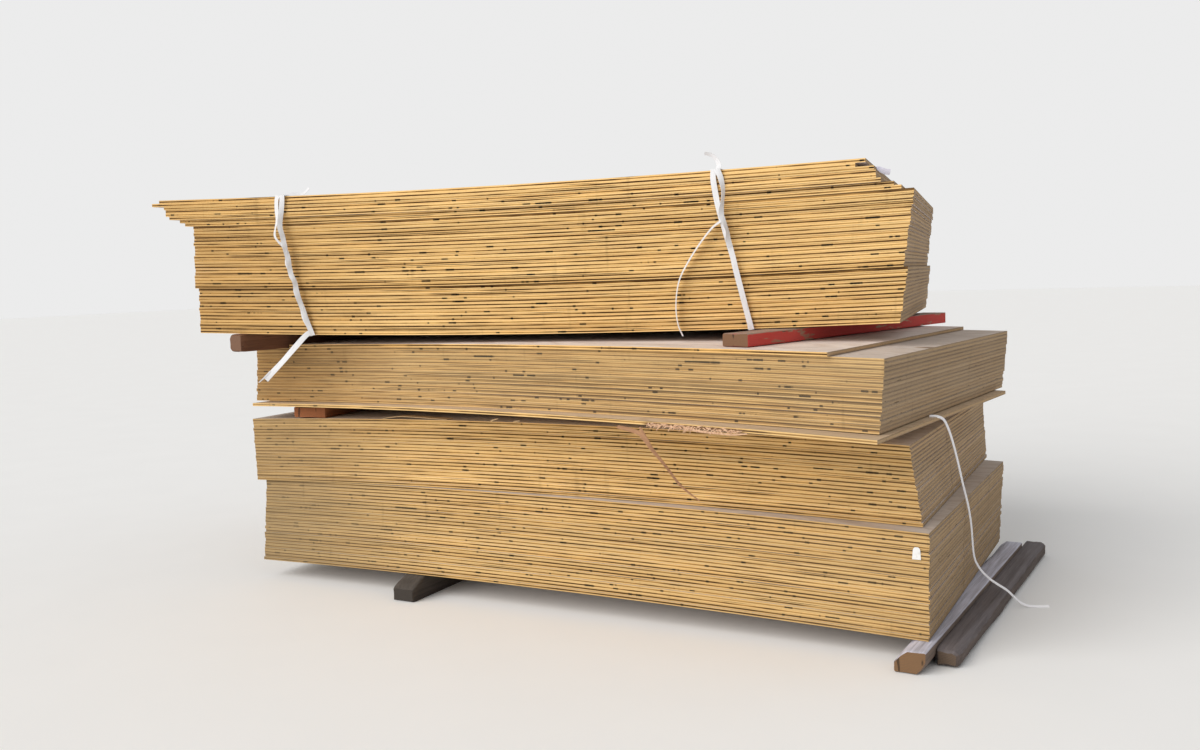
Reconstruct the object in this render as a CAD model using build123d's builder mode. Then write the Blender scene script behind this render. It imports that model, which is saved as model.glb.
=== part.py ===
from build123d import *
import math
import os
import random
from dataclasses import dataclass, replace

# A stack of plywood sheets: three bundles on timber bearers, the top one strapped.
# Millimetres, +Z up. The origin is on the floor under the middle of the stack.
# Places are measured from the lowest sheet's front left corner, X to the right along
# its front edge and Y to the back, and are moved to the origin when a piece is drawn.
plan_centre_x = 1100.0
plan_centre_y = 587.0

# Plywood sheets of 4 by 8 feet in the 15/32 category
sheet_length = 2438.4
sheet_width = 1219.2
sheet_thickness = 11.1
sheet_gap = 0.45
seat_gap = 0.3
edge_unevenness = 2.0

# How many sheets each group holds
bottom_lower_count = 26
bottom_upper_count = 20
middle_count = 17
top_lower_count = 14
top_main_count = 19

# The short sheet on top of the middle bundle, and the torn one under it
short_sheet_length = 2092.0
torn_sheet_length = 2415.0

# Timber bearers
bearer_width = 89.0
bearer_edge_radius = 3.0
wide_bearer_width = 140.0
narrow_bearer_width = 64.0
ground_bearer_height = 64.0
lower_bearer_height = 38.0
upper_bearer_height = 38.0
spare_timber_height = 51.0
spare_timber_width = 70.0
spare_timber_setback = 92.0
ground_bearer_overhang = 110.8
lower_bearer_shortfall = 39.2
upper_bearer_overhang = 90.8

# How far the right bearers' near corners are from the lowest sheet's right end
right_ground_inset = 76.4
right_lower_inset = 308.4
right_upper_inset = 558.4

# Plastic straps
strap_width = 17.0
strap_thickness = 0.9
strap_clearance = 3.5
strap_bend = 3.0
left_strap_along = 444.0
left_strap_lean = 6.0
right_strap_inset = 459.4
right_strap_lean = 9.7

# The straps' loose ends: how far each reaches along the front and up or down
hanging_end_reach = 190.0
hanging_end_fall = 157.0
lying_end_reach = 108.0
lying_end_rise = 27.0
standing_end_width = 12.0
standing_end_reach = 40.0
standing_end_rise = 50.0
curved_end_reach = 156.0
curved_end_height = 333.0
curved_end_drop = 18.0
end_strap_reach = 40.0
end_strap_across = 60.0

# The white tag on the bottom bundle's front
tag_width = 24.0
tag_height = 34.0
tag_thickness = 0.8
tag_inset = 33.4
tag_middle_height = 305.0

# The loose strap at the right end, drawn as a round cord
cord_diameter = 6.0


@dataclass(frozen=True)
class Lay:
    """How one sheet lies.

    The corner and the turn (degrees, anticlockwise from above) fix the place that the
    sheet slides in. Its middle is higher than its ends by the bow, or lower where the
    bow is negative. The slide is to the right along its length, the push to the front.
    """

    x: float
    y: float
    turn: float
    bow: float
    slide: float = 0.0
    push: float = 0.0
    length: float = sheet_length

    @property
    def right(self):
        """The way to the right along the front edge."""
        return math.cos(math.radians(self.turn)), math.sin(math.radians(self.turn))

    @property
    def back(self):
        """The way from the front edge to the back."""
        return -math.sin(math.radians(self.turn)), math.cos(math.radians(self.turn))

    def point(self, along, across):
        """The plan point at these distances along the front edge and behind it."""
        x = self.x + along * self.right[0] + across * self.back[0]
        y = self.y + along * self.right[1] + across * self.back[1]
        return x, y

    def along(self, x, y):
        """How far a plan point is along the front edge."""
        return (x - self.x) * self.right[0] + (y - self.y) * self.right[1]

    def across(self, x, y):
        """How far a plan point is behind the front edge's line."""
        return (x - self.x) * self.back[0] + (y - self.y) * self.back[1]

    def drop(self, along):
        """How far the sheet is below its middle, at this distance along its place."""
        reached = min(max(along, self.slide), self.slide + self.length)
        return self.bow * (2 * reached / sheet_length - 1) ** 2

    def height(self, level, x, y):
        """The height over a plan point of a face that is at `level` at mid length."""
        return level - self.drop(self.along(x, y))

    def footprint(self, steps=8):
        """Plan points spread over the sheet."""
        shares = [step / steps for step in range(steps + 1)]
        return [
            self.point(self.slide + self.length * a, sheet_width * b - self.push)
            for a in shares
            for b in shares
        ]


@dataclass(frozen=True)
class Bearer:
    """A timber that runs from front to back: its near left corner, turn and plan size."""

    x: float
    y: float
    turn: float
    length: float
    width: float = bearer_width

    def footprint(self, steps=8):
        """Plan points spread over the timber."""
        place = Lay(self.x, self.y, self.turn, 0.0)
        shares = [step / steps for step in range(steps + 1)]
        return [place.point(self.width * a, self.length * b) for a in shares for b in shares]


def at(x, y, z):
    """A point of the stack's plan, moved to the origin under the stack's middle."""
    return x - plan_centre_x, y - plan_centre_y, z


def between(low, high, share):
    """A lay part of the way from the lowest sheet's to the highest sheet's."""
    mixed = {
        name: getattr(low, name) + share * (getattr(high, name) - getattr(low, name))
        for name in ("x", "y", "turn", "bow", "slide", "push")
    }
    return replace(low, **mixed)


def fanned(count, low, high, seed):
    """The lays of a group of sheets, from the lowest up, with slightly uneven edges."""
    chance = random.Random(seed)
    lays = []
    for index in range(count):
        lay = between(low, high, index / max(count - 1, 1))
        slide = lay.slide + chance.uniform(-edge_unevenness, edge_unevenness)
        push = lay.push + chance.uniform(-edge_unevenness, edge_unevenness)
        lays.append(replace(lay, slide=slide, push=push))
    return lays


def add_sheet(lay, level):
    """Adds a bowed sheet to the part in hand, with its underside at `level` at mid length."""
    corner = lay.point(0, -lay.push)
    front = Plane(at(*corner, 0), x_dir=(*lay.right, 0), z_dir=(-lay.back[0], -lay.back[1], 0))
    left, right = lay.slide, lay.slide + lay.length
    stations = [(along, level - lay.drop(along)) for along in (left, (left + right) / 2, right)]
    with BuildSketch(front) as profile:
        with BuildLine():
            ThreePointArc(*stations)
            ThreePointArc(*[(along, height + sheet_thickness) for along, height in stations])
            for along, height in (stations[0], stations[-1]):
                Line((along, height), (along, height + sheet_thickness))
        make_face()
    extrude(profile.sketch, amount=-sheet_width)


def rest_level(upper, lower, lower_level, steps=8):
    """The level at which a sheet clears the sheet below it everywhere by the seat gap."""
    gaps = [
        lower.height(lower_level + sheet_thickness, x, y) + upper.drop(upper.along(x, y))
        for x, y in upper.footprint(steps)
    ]
    return max(gaps) + seat_gap


def level_on(upper, bearer, bearer_top):
    """The level of a sheet that rests on a bearer."""
    return max(bearer_top + upper.drop(upper.along(x, y)) for x, y in bearer.footprint()) + seat_gap


def foot_of(bearer, lower, lower_level):
    """The height of the underside of a bearer that rests on a sheet."""
    top = lower_level + sheet_thickness
    return max(lower.height(top, x, y) for x, y in bearer.footprint()) + seat_gap


def head_under(bearer, upper, upper_level):
    """The height of the top of a bearer that carries a sheet."""
    return min(upper.height(upper_level, x, y) for x, y in bearer.footprint()) - seat_gap


def add_timber(bearer, foot, head):
    """Adds a timber with eased long edges to the part in hand."""
    place = Lay(bearer.x, bearer.y, bearer.turn, 0.0)
    near_end = Plane(
        at(*place.point(bearer.width / 2, 0), (foot + head) / 2),
        x_dir=(*place.right, 0),
        z_dir=(-place.back[0], -place.back[1], 0),
    )
    with BuildSketch(near_end) as section:
        RectangleRounded(bearer.width, head - foot, bearer_edge_radius)
    extrude(section.sketch, amount=-bearer.length)


# How the lowest and the highest sheet of each group lie
bottom_low = Lay(0, 0, 0, 17)
bottom_step_low = Lay(0, 32, -0.6, 20)
bottom_step_high = Lay(0, 19, 1.2, 20.5, slide=-31)
bottom_high = Lay(0, 43, 0.25, 24, slide=-62)
lowered_lay = Lay(-68, 26, -6.2, 20, slide=30, length=torn_sheet_length)
middle_low = Lay(-68, 83, -5.8, 17, slide=-8)
middle_high = Lay(-68, 83, -5.9, 15.5, slide=8)
short_lay = Lay(-68, 83, -6.0, 14.5, slide=207, push=14, length=short_sheet_length)
top_low = Lay(-66, -149, 8.5, -18.5, slide=-27)
top_step_low = Lay(-66, -171, 8.8, -17.5, slide=-2)
top_step_high = Lay(-66, -176, 8.8, -17.2, slide=-12)
top_high = Lay(-66, -203, 9.1, -16, slide=24)

# The loose sheets on top, from the lowest up: how far each has slid to the left
# from the sheets below, and how far it sticks out to the front
shifted_slides = (-35, -55, -90, -103, -104, -108, -160, -132)
shifted_pushes = (2, 4, 15, 17, 15, 18, 16, 12)

# Where the bearers lie
ground_length = sheet_width + ground_bearer_overhang
lower_length = sheet_width - lower_bearer_shortfall
upper_length = sheet_width + upper_bearer_overhang
left_ground = Bearer(655, -70, 0.5, ground_length)
right_ground = Bearer(sheet_length - right_ground_inset, -92, -2.8, ground_length)
left_lower = Bearer(150, 36, 6.0, lower_length, width=wide_bearer_width)
right_lower = Bearer(sheet_length - right_lower_inset, 60, 2.0, lower_length)
left_upper = Bearer(41, -150, -2.5, upper_length, width=narrow_bearer_width)
right_upper = Bearer(sheet_length - right_upper_inset, -66, -12.7, upper_length)

# The levels, from the floor up: each group's lowest sheet at mid length
sheet_pitch = sheet_thickness + sheet_gap
bottom_lower_level = level_on(bottom_low, right_ground, ground_bearer_height)
bottom_lower = fanned(bottom_lower_count, bottom_low, bottom_step_low, seed=1)
bottom_step_level = bottom_lower_level + (bottom_lower_count - 1) * sheet_pitch
bottom_upper_level = rest_level(bottom_step_high, bottom_step_low, bottom_step_level)
bottom_upper = fanned(bottom_upper_count, bottom_step_high, bottom_high, seed=2)
bottom_top_level = bottom_upper_level + (bottom_upper_count - 1) * sheet_pitch
left_lower_foot = foot_of(left_lower, bottom_high, bottom_top_level)
lowered_level = level_on(lowered_lay, left_lower, left_lower_foot + lower_bearer_height)
middle_level = rest_level(middle_low, lowered_lay, lowered_level)
middle = fanned(middle_count, middle_low, middle_high, seed=3)
middle_top_level = middle_level + (middle_count - 1) * sheet_pitch
short_level = rest_level(short_lay, middle_high, middle_top_level)
right_upper_foot = foot_of(right_upper, short_lay, short_level)
top_lower_level = level_on(top_low, right_upper, right_upper_foot + upper_bearer_height)
top_lower = fanned(top_lower_count, top_low, top_step_low, seed=4)
top_step_level = top_lower_level + (top_lower_count - 1) * sheet_pitch
top_main_level = rest_level(top_step_high, top_step_low, top_step_level)
top_main = fanned(top_main_count, top_step_high, top_high, seed=5)
top_main_top_level = top_main_level + (top_main_count - 1) * sheet_pitch
shifted = [
    replace(top_high, slide=top_high.slide + slide, push=push)
    for slide, push in zip(shifted_slides, shifted_pushes)
]
shifted_level = rest_level(shifted[0], top_high, top_main_top_level)
shifted_top_level = shifted_level + (len(shifted) - 1) * sheet_pitch

os.makedirs("parts", exist_ok=True)


def write_group(name, lays, level):
    """Builds a group of sheets, one on the other, and writes it."""
    with BuildPart() as group:
        for index, lay in enumerate(lays):
            add_sheet(lay, level + index * sheet_pitch)
    group.part.label = name
    export_step(group.part, f"parts/{name}.step")


def write_timber(name, bearer, foot, head):
    """Builds one timber and writes it."""
    with BuildPart() as timber:
        add_timber(bearer, foot, head)
    timber.part.label = name
    export_step(timber.part, f"parts/{name}.step")


# Sheets
write_group("bottom_lower_sheets", bottom_lower, bottom_lower_level)
write_group("bottom_upper_sheets", bottom_upper, bottom_upper_level)
write_group("lowered_sheet", [lowered_lay], lowered_level)
write_group("middle_sheets", middle, middle_level)
write_group("short_sheet", [short_lay], short_level)
write_group("top_lower_sheets", top_lower, top_lower_level)
write_group("top_main_sheets", top_main, top_main_level)
write_group("shifted_sheets", shifted, shifted_level)

# Bearers
write_timber(
    "left_ground_bearer",
    left_ground,
    0,
    head_under(left_ground, bottom_low, bottom_lower_level),
)
write_timber("right_ground_bearer", right_ground, 0, ground_bearer_height)
spare_corner = Lay(right_ground.x, right_ground.y, right_ground.turn, 0.0).point(
    right_ground.width + seat_gap, spare_timber_setback
)
spare_timber = Bearer(
    *spare_corner, right_ground.turn, ground_length, width=spare_timber_width
)
write_timber("spare_ground_timber", spare_timber, 0, spare_timber_height)
write_timber(
    "left_lower_bearer",
    left_lower,
    left_lower_foot,
    head_under(left_lower, lowered_lay, lowered_level),
)
write_timber(
    "right_lower_bearer",
    right_lower,
    foot_of(right_lower, bottom_high, bottom_top_level),
    head_under(right_lower, lowered_lay, lowered_level),
)
write_timber(
    "left_upper_bearer",
    left_upper,
    foot_of(left_upper, middle_high, middle_top_level),
    head_under(left_upper, top_low, top_lower_level),
)
write_timber(
    "right_upper_bearer",
    right_upper,
    right_upper_foot,
    head_under(right_upper, top_low, top_lower_level),
)


@dataclass(frozen=True)
class Strap:
    """A strap round the top bundle: its foot's place along the front, and its lean."""

    along: float
    lean: float

    @property
    def rise(self):
        """How far the strap's ends climb across half its own width."""
        return strap_width / 2 * math.sin(math.radians(self.lean))

    @property
    def crown_along(self):
        """Where the strap crosses the top sheet's front edge."""
        bundle_height = shifted_top_level - top_lower_level
        return self.along - math.tan(math.radians(self.lean)) * bundle_height

    @property
    def foot(self):
        """The height of the strap's lowest face."""
        underside = top_low.height(top_lower_level, *top_low.point(self.along, 0))
        return underside - self.rise - strap_thickness - seat_gap

    @property
    def head(self):
        """The height of the strap's highest face."""
        crown_top = shifted_top_level + sheet_thickness
        top = shifted[-1].height(crown_top, *top_low.point(self.crown_along, 0))
        return top + self.rise + strap_thickness + seat_gap

    @property
    def foot_front(self):
        """How far the strap's foot is behind the bundle's front line."""
        return -strap_clearance - edge_unevenness

    @property
    def head_front(self):
        """How far the strap's head is behind the bundle's front line."""
        return min(front_across(lay, self.crown_along) for lay in shifted) - strap_clearance

    def corners(self):
        """The outer corners, as distances behind the front line and heights."""
        ledge = top_main_top_level + sheet_thickness
        slack = strap_clearance + edge_unevenness
        return [
            (self.foot_front, self.foot),
            (self.head_front, ledge),
            (self.head_front, self.head),
            (sheet_width + front_across(top_high, self.crown_along) + slack, self.head),
            (sheet_width + slack, self.foot),
        ]

    def frame(self):
        """The leaning plane that the strap is drawn in, from its foot up."""
        lean = math.radians(self.lean)
        right_x, right_y = top_low.right
        across_way = (math.cos(lean) * right_x, math.cos(lean) * right_y, math.sin(lean))
        foot = at(*top_low.point(self.along, 0), self.foot)
        return Plane(foot, x_dir=(*top_low.back, 0), z_dir=across_way)

    def add_ring(self):
        """Adds the closed loop round the bundle to the part in hand."""
        stretch = 1 / math.cos(math.radians(self.lean))
        corners = [(across, (height - self.foot) * stretch) for across, height in self.corners()]
        with BuildSketch(self.frame()) as ring:
            with BuildLine():
                Polyline(*corners, close=True)
            make_face()
            fillet(ring.vertices(), strap_bend + strap_thickness)
            offset(amount=-strap_thickness, mode=Mode.SUBTRACT)
        extrude(ring.sketch, amount=strap_width / 2, both=True)


def front_across(other, along):
    """How far another sheet's front edge is behind the top bundle's front line."""
    start = other.point(0, -other.push)
    reach = other.right[0] * top_low.right[0] + other.right[1] * top_low.right[1]
    run = (along - top_low.along(*start)) / reach
    return top_low.across(start[0] + run * other.right[0], start[1] + run * other.right[1])


def add_tail(across, points, line_width, depth, bend=40.0):
    """Adds a strap's loose end to the part in hand.

    The points are distances along the front and heights, in a plane that is `across`
    behind the front line. The end is drawn this wide in that plane and this deep.
    """
    front = Plane(
        at(*top_low.point(0, across), 0),
        x_dir=(*top_low.right, 0),
        z_dir=(-top_low.back[0], -top_low.back[1], 0),
    )
    with BuildSketch(front) as tail:
        with BuildLine():
            if len(points) == 2:
                Line(*points)
            else:
                FilletPolyline(*points, radius=bend)
        trace(line_width=line_width)
    extrude(tail.sketch, amount=depth)


# The left strap has one loose end that hangs down to the left, and one on the top sheet
left_strap = Strap(along=left_strap_along, lean=left_strap_lean)
with BuildPart() as strap:
    left_strap.add_ring()
    left_end = [
        (left_strap.along, left_strap.foot + strap_width / 2),
        (left_strap.along - hanging_end_reach, left_strap.foot - hanging_end_fall),
    ]
    add_tail(left_strap.foot_front - 0.5, left_end, strap_width, strap_thickness)
    top_end = [
        (left_strap.crown_along, left_strap.head - strap_thickness / 2),
        (left_strap.crown_along + 0.7 * lying_end_reach, left_strap.head + 2),
        (left_strap.crown_along + lying_end_reach, left_strap.head + lying_end_rise),
    ]
    add_tail(left_strap.head_front + 30, top_end, strap_thickness, strap_width)
strap.part.label = "left_strap"
export_step(strap.part, "parts/left_strap.step")

# The right strap has one loose end that stands up, and one that hangs edge on
right_strap = Strap(along=sheet_length - right_strap_inset, lean=right_strap_lean)
ledge_height = top_main_top_level + sheet_thickness - right_strap.foot
hang_share = curved_end_height / ledge_height
hang_front = right_strap.foot_front + hang_share * (
    right_strap.head_front - right_strap.foot_front
)
hang_along = right_strap.along - math.tan(math.radians(right_strap.lean)) * curved_end_height
with BuildPart() as strap:
    right_strap.add_ring()
    standing_end = [
        (right_strap.crown_along, right_strap.head - strap_width),
        (right_strap.crown_along - 0.2 * standing_end_reach, right_strap.head + 24),
        (right_strap.crown_along - standing_end_reach, right_strap.head + standing_end_rise),
    ]
    standing_front = right_strap.head_front + strap_thickness
    add_tail(standing_front, standing_end, standing_end_width, strap_thickness)
    curve_shares = ((0, 1), (0.45, 0.79), (0.83, 0.49), (1, 0.2))
    curved_end = [
        (hang_along - curved_end_reach * reach, right_strap.foot + ledge_height * hang_share * rise)
        for reach, rise in curve_shares
    ]
    curved_end.append(
        (hang_along - 0.88 * curved_end_reach, right_strap.foot - curved_end_drop)
    )
    add_tail(hang_front + strap_thickness, curved_end, strap_thickness, strap_width)
strap.part.label = "right_strap"
export_step(strap.part, "parts/right_strap.step")

# A lengthwise strap's end on the sixth loose sheet, sticking out over its right edge
held_by = shifted[5]
end_strap_rest = shifted_level + 5 * sheet_pitch + sheet_thickness + seat_gap
end_strap_start = shifted[6].slide + sheet_length + 2
end_strap_tip = held_by.slide + sheet_length + end_strap_reach
end_strap_corner = held_by.point(end_strap_start, end_strap_across)
end_strap_height = end_strap_rest - held_by.drop(held_by.slide + sheet_length)
with BuildPart() as strap:
    place = Plane(at(*end_strap_corner, end_strap_height), x_dir=(*held_by.right, 0))
    with BuildSketch(place):
        Rectangle(end_strap_tip - end_strap_start, strap_width, align=(Align.MIN, Align.CENTER))
    extrude(amount=strap_thickness)
strap.part.label = "end_strap"
export_step(strap.part, "parts/end_strap.step")

# The tag stands just clear of the sheet edges behind it
tag_along = sheet_length - tag_inset
tag_edges = [
    lay.point(tag_along - lay.x, -lay.push)[1]
    for index, lay in enumerate(bottom_lower)
    if abs(bottom_lower_level + index * sheet_pitch - tag_middle_height) < tag_height
]
with BuildPart() as tag:
    middle = at(tag_along, min(tag_edges) - seat_gap, tag_middle_height)
    with BuildSketch(Plane(middle, x_dir=(1, 0, 0), z_dir=(0, -1, 0))):
        Rectangle(tag_width, tag_height)
    extrude(amount=tag_thickness)
    fillet(tag.edges().filter_by(Axis.Y).group_by(Axis.Z)[-1], tag_width / 3)
tag.part.label = "white_tag"
export_step(tag.part, "parts/white_tag.step")

# The loose strap comes out over the torn sheet's right edge, hangs down past the ends
# of the bottom bundle, crosses the ground timbers and ends on the floor
cord_points = [
    (2396, 222, 652.1),
    (2425, 247, 653.2),
    (2438, 276, 614),
    (2444, 324, 556),
    (2448, 372, 494),
    (2453, 420, 420),
    (2457, 478, 352),
    (2459, 520, 284),
    (2460, 537, 222),
    (2463, 541, 170),
    (2478, 546, 136),
    (2501, 556, 107),
    (2527, 571, 84),
    (2555, 588, 64),
    (2577, 609, 33),
    (2601, 628, 8),
    (2636, 644, 3.3),
    (2670, 664, 3.3),
]


def bend_radii(points, share=0.45):
    """The radius at each inner point, as large as the two runs beside it allow."""
    radii = []
    for before, here, after in zip(points, points[1:], points[2:]):
        run_in = here - before
        run_out = after - here
        turn = math.radians(run_in.get_angle(run_out))
        radii.append(share * min(run_in.length, run_out.length) / math.tan(turn / 2))
    return radii


cord_route = [Vector(*at(*point)) for point in cord_points]
cord_radii = bend_radii(cord_route)
print("cord bend radii:", [round(radius, 1) for radius in cord_radii])
with BuildPart() as cord:
    with BuildLine() as path:
        FilletPolyline(*cord_route, radius=cord_radii)
    with BuildSketch(path.line ^ 0):
        Circle(cord_diameter / 2)
    sweep()
cord_length = path.wire().length
cord_volume = math.pi / 4 * cord_diameter**2 * cord_length
print("cord volume, real and expected:", round(cord.part.volume), round(cord_volume))
cord.part.label = "loose_strap"
export_step(cord.part, "parts/loose_strap.step")
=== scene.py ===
"""The stack of plywood sheets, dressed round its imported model.

Metres throughout. The origin is on the floor under the middle of the stack. A place on
a sheet is given along its front edge, to the right, and across it, to the back.
"""

import logging
import math
import random
from dataclasses import astuple, dataclass, replace
from enum import Enum
from typing import TypeVar

import bpy
from mathutils import Matrix, Vector, noise


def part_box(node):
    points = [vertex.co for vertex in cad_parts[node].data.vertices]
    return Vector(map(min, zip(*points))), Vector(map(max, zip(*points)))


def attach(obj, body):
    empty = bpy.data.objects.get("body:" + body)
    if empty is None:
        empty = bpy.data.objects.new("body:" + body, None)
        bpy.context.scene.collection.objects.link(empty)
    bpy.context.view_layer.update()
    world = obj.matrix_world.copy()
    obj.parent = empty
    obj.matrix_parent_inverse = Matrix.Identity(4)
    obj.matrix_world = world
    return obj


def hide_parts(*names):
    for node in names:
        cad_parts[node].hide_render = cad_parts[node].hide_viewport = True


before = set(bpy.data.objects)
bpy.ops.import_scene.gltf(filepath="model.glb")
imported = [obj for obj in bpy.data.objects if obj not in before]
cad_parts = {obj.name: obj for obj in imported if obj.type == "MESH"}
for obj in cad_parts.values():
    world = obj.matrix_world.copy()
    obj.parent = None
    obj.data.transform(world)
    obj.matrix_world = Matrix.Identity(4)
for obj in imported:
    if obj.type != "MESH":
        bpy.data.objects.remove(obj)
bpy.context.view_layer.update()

log = logging.getLogger("plywood_stack")

Colour = tuple[float, float, float]
Settings = dict[str, object]
Inputs = dict[str | int, object]
Value = TypeVar("Value", float, Vector)

# The lowest sheet's front left corner is this far left of and in front of the origin
PLAN_CENTRE = Vector((1.100, 0.587))

# Sheets
SHEET_LENGTH = 2.4384
SHEET_WIDTH = 1.2192
SHEET_THICKNESS = 0.0111
SHEET_PITCH = 0.01155

# Straps
STRAP_WIDTH = 0.017
STRAP_THICKNESS = 0.0009

# The photograph's camera
CAMERA_PLACE = (1.9675, -3.5994, 1.0821)
CAMERA_YAW = 28.242
CAMERA_PITCH = -5.079
CAMERA_ROLL = -1.803
FOCAL_PIXELS = 1115.4
IMAGE_WIDTH = 1200
SENSOR_WIDTH = 36.0

# A face counts as facing a way above this cosine, which is that of about 45 degrees
FACING = 0.7

# Edges up to these angles, in degrees, are shaded smooth
BAND_SMOOTH = 50
WORN_SMOOTH = 40

# How finely a band is divided: across its width, and between two of its given places
BAND_COLUMNS = 4
BAND_STEPS = 8

# Points of a tube that are nearer than this are one point
WELD = 0.00002


class Slot(Enum):
    """The material slots."""

    PLYWOOD = "plywood"
    STRAP = "strap"
    TAG = "tag"
    WEATHERED_TIMBER = "weathered_timber"
    REDDISH_TIMBER = "reddish_timber"
    PAINTED_TIMBER = "painted_timber"


class Blend(Enum):
    """How one colour is laid over another."""

    OVER = "MIX"
    TIMES = "MULTIPLY"


# ---------------------------------------------------------------- shader maths


class Signal:
    """A value in a finish's node tree, with plain arithmetic."""

    def __init__(self, recipe: "Recipe", socket: bpy.types.NodeSocket | None) -> None:
        """Wraps the output socket of a node of the recipe."""
        self.recipe = recipe
        self.socket = socket

    def _maths(self, operation: str, *terms: "Term", clamp: bool = False) -> "Signal":
        """Adds a Math node that works on these terms, in order."""
        settings = {"operation": operation, "use_clamp": clamp}
        return self.recipe.node("ShaderNodeMath", settings, dict(enumerate(terms)))

    def __add__(self, other: "Term") -> "Signal":
        """Adds two values."""
        return self._maths("ADD", self, other)

    __radd__ = __add__

    def __sub__(self, other: "Term") -> "Signal":
        """Takes the other value away."""
        return self._maths("SUBTRACT", self, other)

    def __rsub__(self, other: "Term") -> "Signal":
        """Takes this value away from the other."""
        return self._maths("SUBTRACT", other, self)

    def __mul__(self, other: "Term") -> "Signal":
        """Multiplies two values."""
        return self._maths("MULTIPLY", self, other)

    __rmul__ = __mul__

    def __truediv__(self, other: "Term") -> "Signal":
        """Divides by the other value."""
        return self._maths("DIVIDE", self, other)

    def __pow__(self, other: "Term") -> "Signal":
        """Raises this value to a power."""
        return self._maths("POWER", self, other)

    def __abs__(self) -> "Signal":
        """Drops the sign."""
        return self._maths("ABSOLUTE", self)

    def floor(self) -> "Signal":
        """Rounds down."""
        return self._maths("FLOOR", self)

    def part(self) -> "Signal":
        """Keeps what is after the decimal point."""
        return self._maths("FRACT", self)

    def clamp(self) -> "Signal":
        """Keeps the value between 0 and 1."""
        return self._maths("ADD", self, 0.0, clamp=True)

    def above(self, edge: "Term") -> "Signal":
        """Gives 1 where the value is above the edge, and 0 elsewhere."""
        return self._maths("GREATER_THAN", self, edge)

    def most(self, other: "Term") -> "Signal":
        """Gives the higher of two values."""
        return self._maths("MAXIMUM", self, other)

    def ease(self, low: "Term", high: "Term") -> "Signal":
        """Rises or falls smoothly between two values.

        Args:
            low: The value where it gives 0.
            high: The value where it gives 1, which may be the smaller of the two.

        Returns:
            The share, from 0 to 1.
        """
        settings = {"interpolation_type": "SMOOTHSTEP"}
        inputs = {"Value": self, "From Min": low, "From Max": high}
        return self.recipe.node("ShaderNodeMapRange", settings, inputs)


Term = Signal | float
Place = tuple[Term, Term, Term]


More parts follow.
